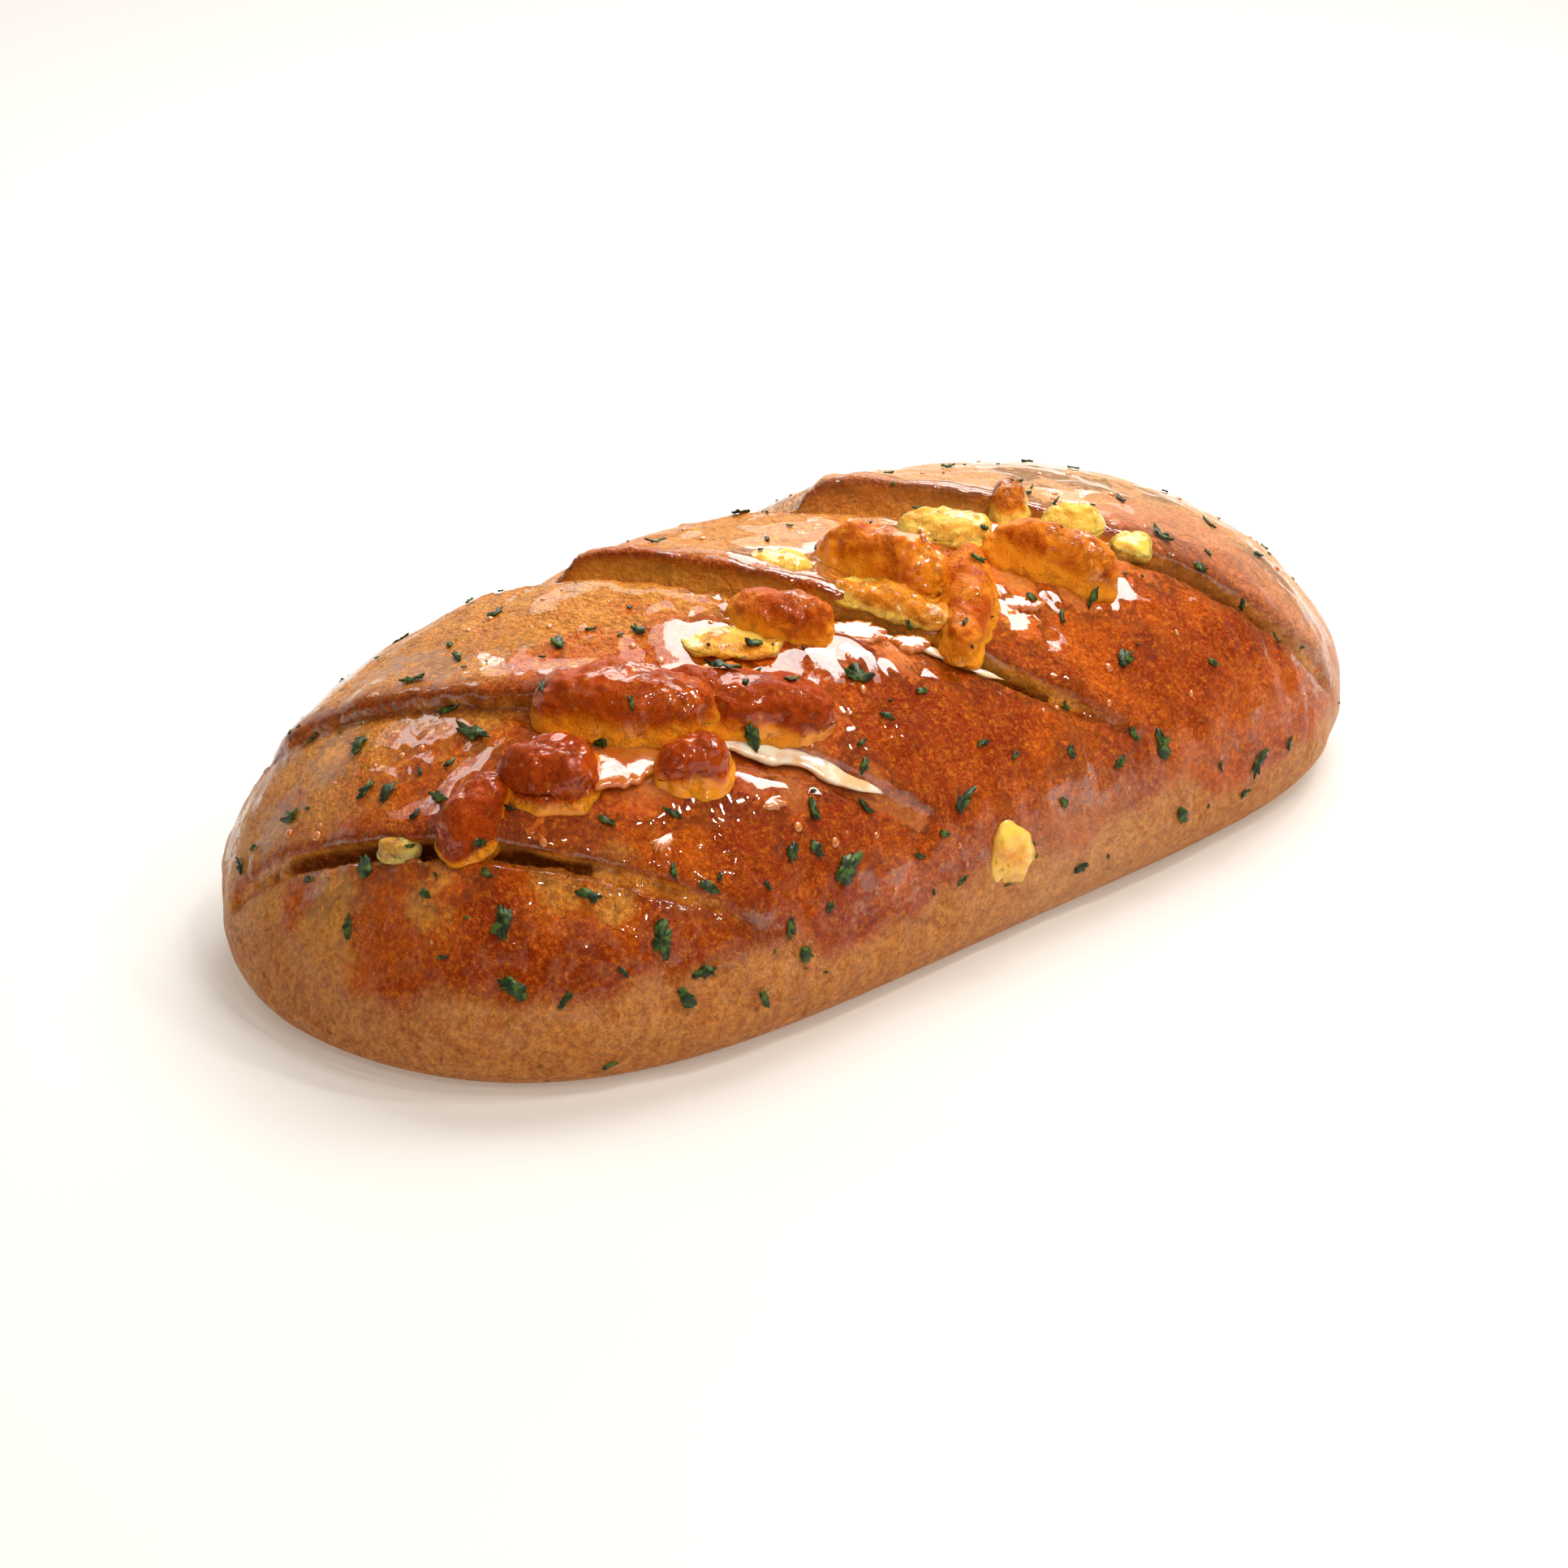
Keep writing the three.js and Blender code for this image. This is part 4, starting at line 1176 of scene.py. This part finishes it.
class BAGUETTE_OT_stage(bpy.types.Operator):
    """Sets the floor, the lights and the camera"""

    bl_idname = "baguette.stage"
    bl_label = "Set the stage"

    def execute(self, context):
        settings = context.scene.baguette_stage
        scene = context.scene
        bpy.ops.object.select_all(action="DESELECT")
        bpy.ops.mesh.primitive_plane_add(size=60, location=(0, 0, cad_box[0][2]))
        floor = bpy.context.object
        floor.name = "pale_floor"
        material, tree, shader, _ = new_finish("pale_floor")
        shader.inputs["Base Color"].default_value = (0.57, 0.57, 0.57, 1)
        shader.inputs["Emission Color"].default_value = (1, 0.86, 0.7, 1)
        shader.inputs["Emission Strength"].default_value = 0.28
        shader.inputs["Roughness"].default_value = 0.7
        shader.inputs["Specular IOR Level"].default_value = 0.2
        floor.data.materials.append(material)

        world = bpy.data.worlds.new("white_room")
        scene.world = world
        world.use_nodes = True
        world.node_tree.nodes["Background"].inputs["Color"].default_value = (1, 0.94, 0.86, 1)
        world.node_tree.nodes["Background"].inputs["Strength"].default_value = 0.1
        # A big soft light overhead towards the far end, a white wall of light behind, and a small
        # bright light that makes the sparkles.
        self.softbox("top_softbox", (0.4, 0.2, 0.76), (0.56, 0.46), 6.6, (1, 0.985, 0.96))
        self.softbox("left_softbox", (-0.08, 0.72, 0.66), (0.3, 0.2), 0.7, (1, 0.99, 0.98))
        self.softbox("right_softbox", (0.53, -0.04, 0.66), (0.26, 0.2), 1.7, (1, 0.985, 0.96))
        self.softbox("low_softbox", (0.95, 1.0, 0.62), (0.9, 0.5), 6, (1, 0.99, 0.98))
        self.softbox("back_wall", (0.1, 1.3, 0.4), (2.4, 0.9), 3, (0.98, 0.99, 1))
        chance = np.random.default_rng(5)
        for number in range(1, 13):
            place = (chance.uniform(-0.7, 0.3), chance.uniform(-0.9, -0.2), chance.uniform(0.5, 0.95))
            self.sparkle(f"sparkle_light_{number}", place, 0.48)

        scene.view_settings.view_transform = "Standard"
        az, el = settings.azimuth, settings.elevation
        back = Vector((math.sin(az) * math.cos(el), -math.cos(az) * math.cos(el), math.sin(el)))
        target = Vector((-17.29, -9.85, 18.33)) * MM
        bpy.ops.object.camera_add(location=target + back * settings.distance)
        camera = bpy.context.object
        camera.rotation_euler = back.to_track_quat("Z", "Y").to_euler()
        camera.data.lens = settings.lens
        camera.data.sensor_width = 36
        camera.data.clip_start = 0.01
        scene.camera = camera
        return {"FINISHED"}

    def softbox(self, name, place, size, power, colour):
        bpy.ops.object.light_add(type="AREA", location=place)
        light = bpy.context.object
        light.name = name
        light.data.shape = "RECTANGLE"
        light.data.size, light.data.size_y = size
        light.data.energy = power
        light.data.color = colour
        light.rotation_euler = (Vector(place) - Vector((0, 0, 0.03))).to_track_quat("Z", "Y").to_euler()

    def sparkle(self, name, place, power):
        bpy.ops.object.light_add(type="AREA", location=place)
        light = bpy.context.object
        light.name = name
        light.data.shape = "DISK"
        light.data.size = 0.03
        light.data.color = (1, 0.93, 0.84)
        light.data.energy = power
        light.rotation_euler = Vector(place).to_track_quat("Z", "Y").to_euler()


# ------------------------------------------------------------------ panel and registration

OPERATORS = (
    BAGUETTE_OT_loaf, BAGUETTE_OT_cheese, BAGUETTE_OT_butter, BAGUETTE_OT_garlic, BAGUETTE_OT_parsley,
    BAGUETTE_OT_stage,
)


class BAGUETTE_PT_panel(bpy.types.Panel):
    bl_label = "Garlic baguette"
    bl_space_type = "VIEW_3D"
    bl_region_type = "UI"
    bl_category = "Baguette"

    def draw(self, context):
        for operator in OPERATORS:
            self.layout.operator(operator.bl_idname)
        for group in ("baguette_loaf", "baguette_cheese", "baguette_herb", "baguette_stage"):
            box = self.layout.box()
            settings = getattr(context.scene, group)
            for prop in settings.__annotations__:
                box.prop(settings, prop)


GROUPS = {
    "baguette_loaf": LoafSettings,
    "baguette_cheese": CheeseSettings,
    "baguette_herb": HerbSettings,
    "baguette_stage": StageSettings,
}


def register():
    for cls in (*GROUPS.values(), *OPERATORS, BAGUETTE_PT_panel):
        bpy.utils.register_class(cls)
    for name, cls in GROUPS.items():
        setattr(bpy.types.Scene, name, bpy.props.PointerProperty(type=cls))


def unregister():
    for name in GROUPS:
        delattr(bpy.types.Scene, name)
    for cls in (BAGUETTE_PT_panel, *reversed(OPERATORS), *GROUPS.values()):
        bpy.utils.unregister_class(cls)


def main():
    register()
    bpy.ops.baguette.loaf()
    bpy.ops.baguette.cheese()
    bpy.ops.baguette.butter()
    bpy.ops.baguette.garlic()
    bpy.ops.baguette.parsley()
    bpy.ops.baguette.stage()


if __name__ == "__main__":
    main()
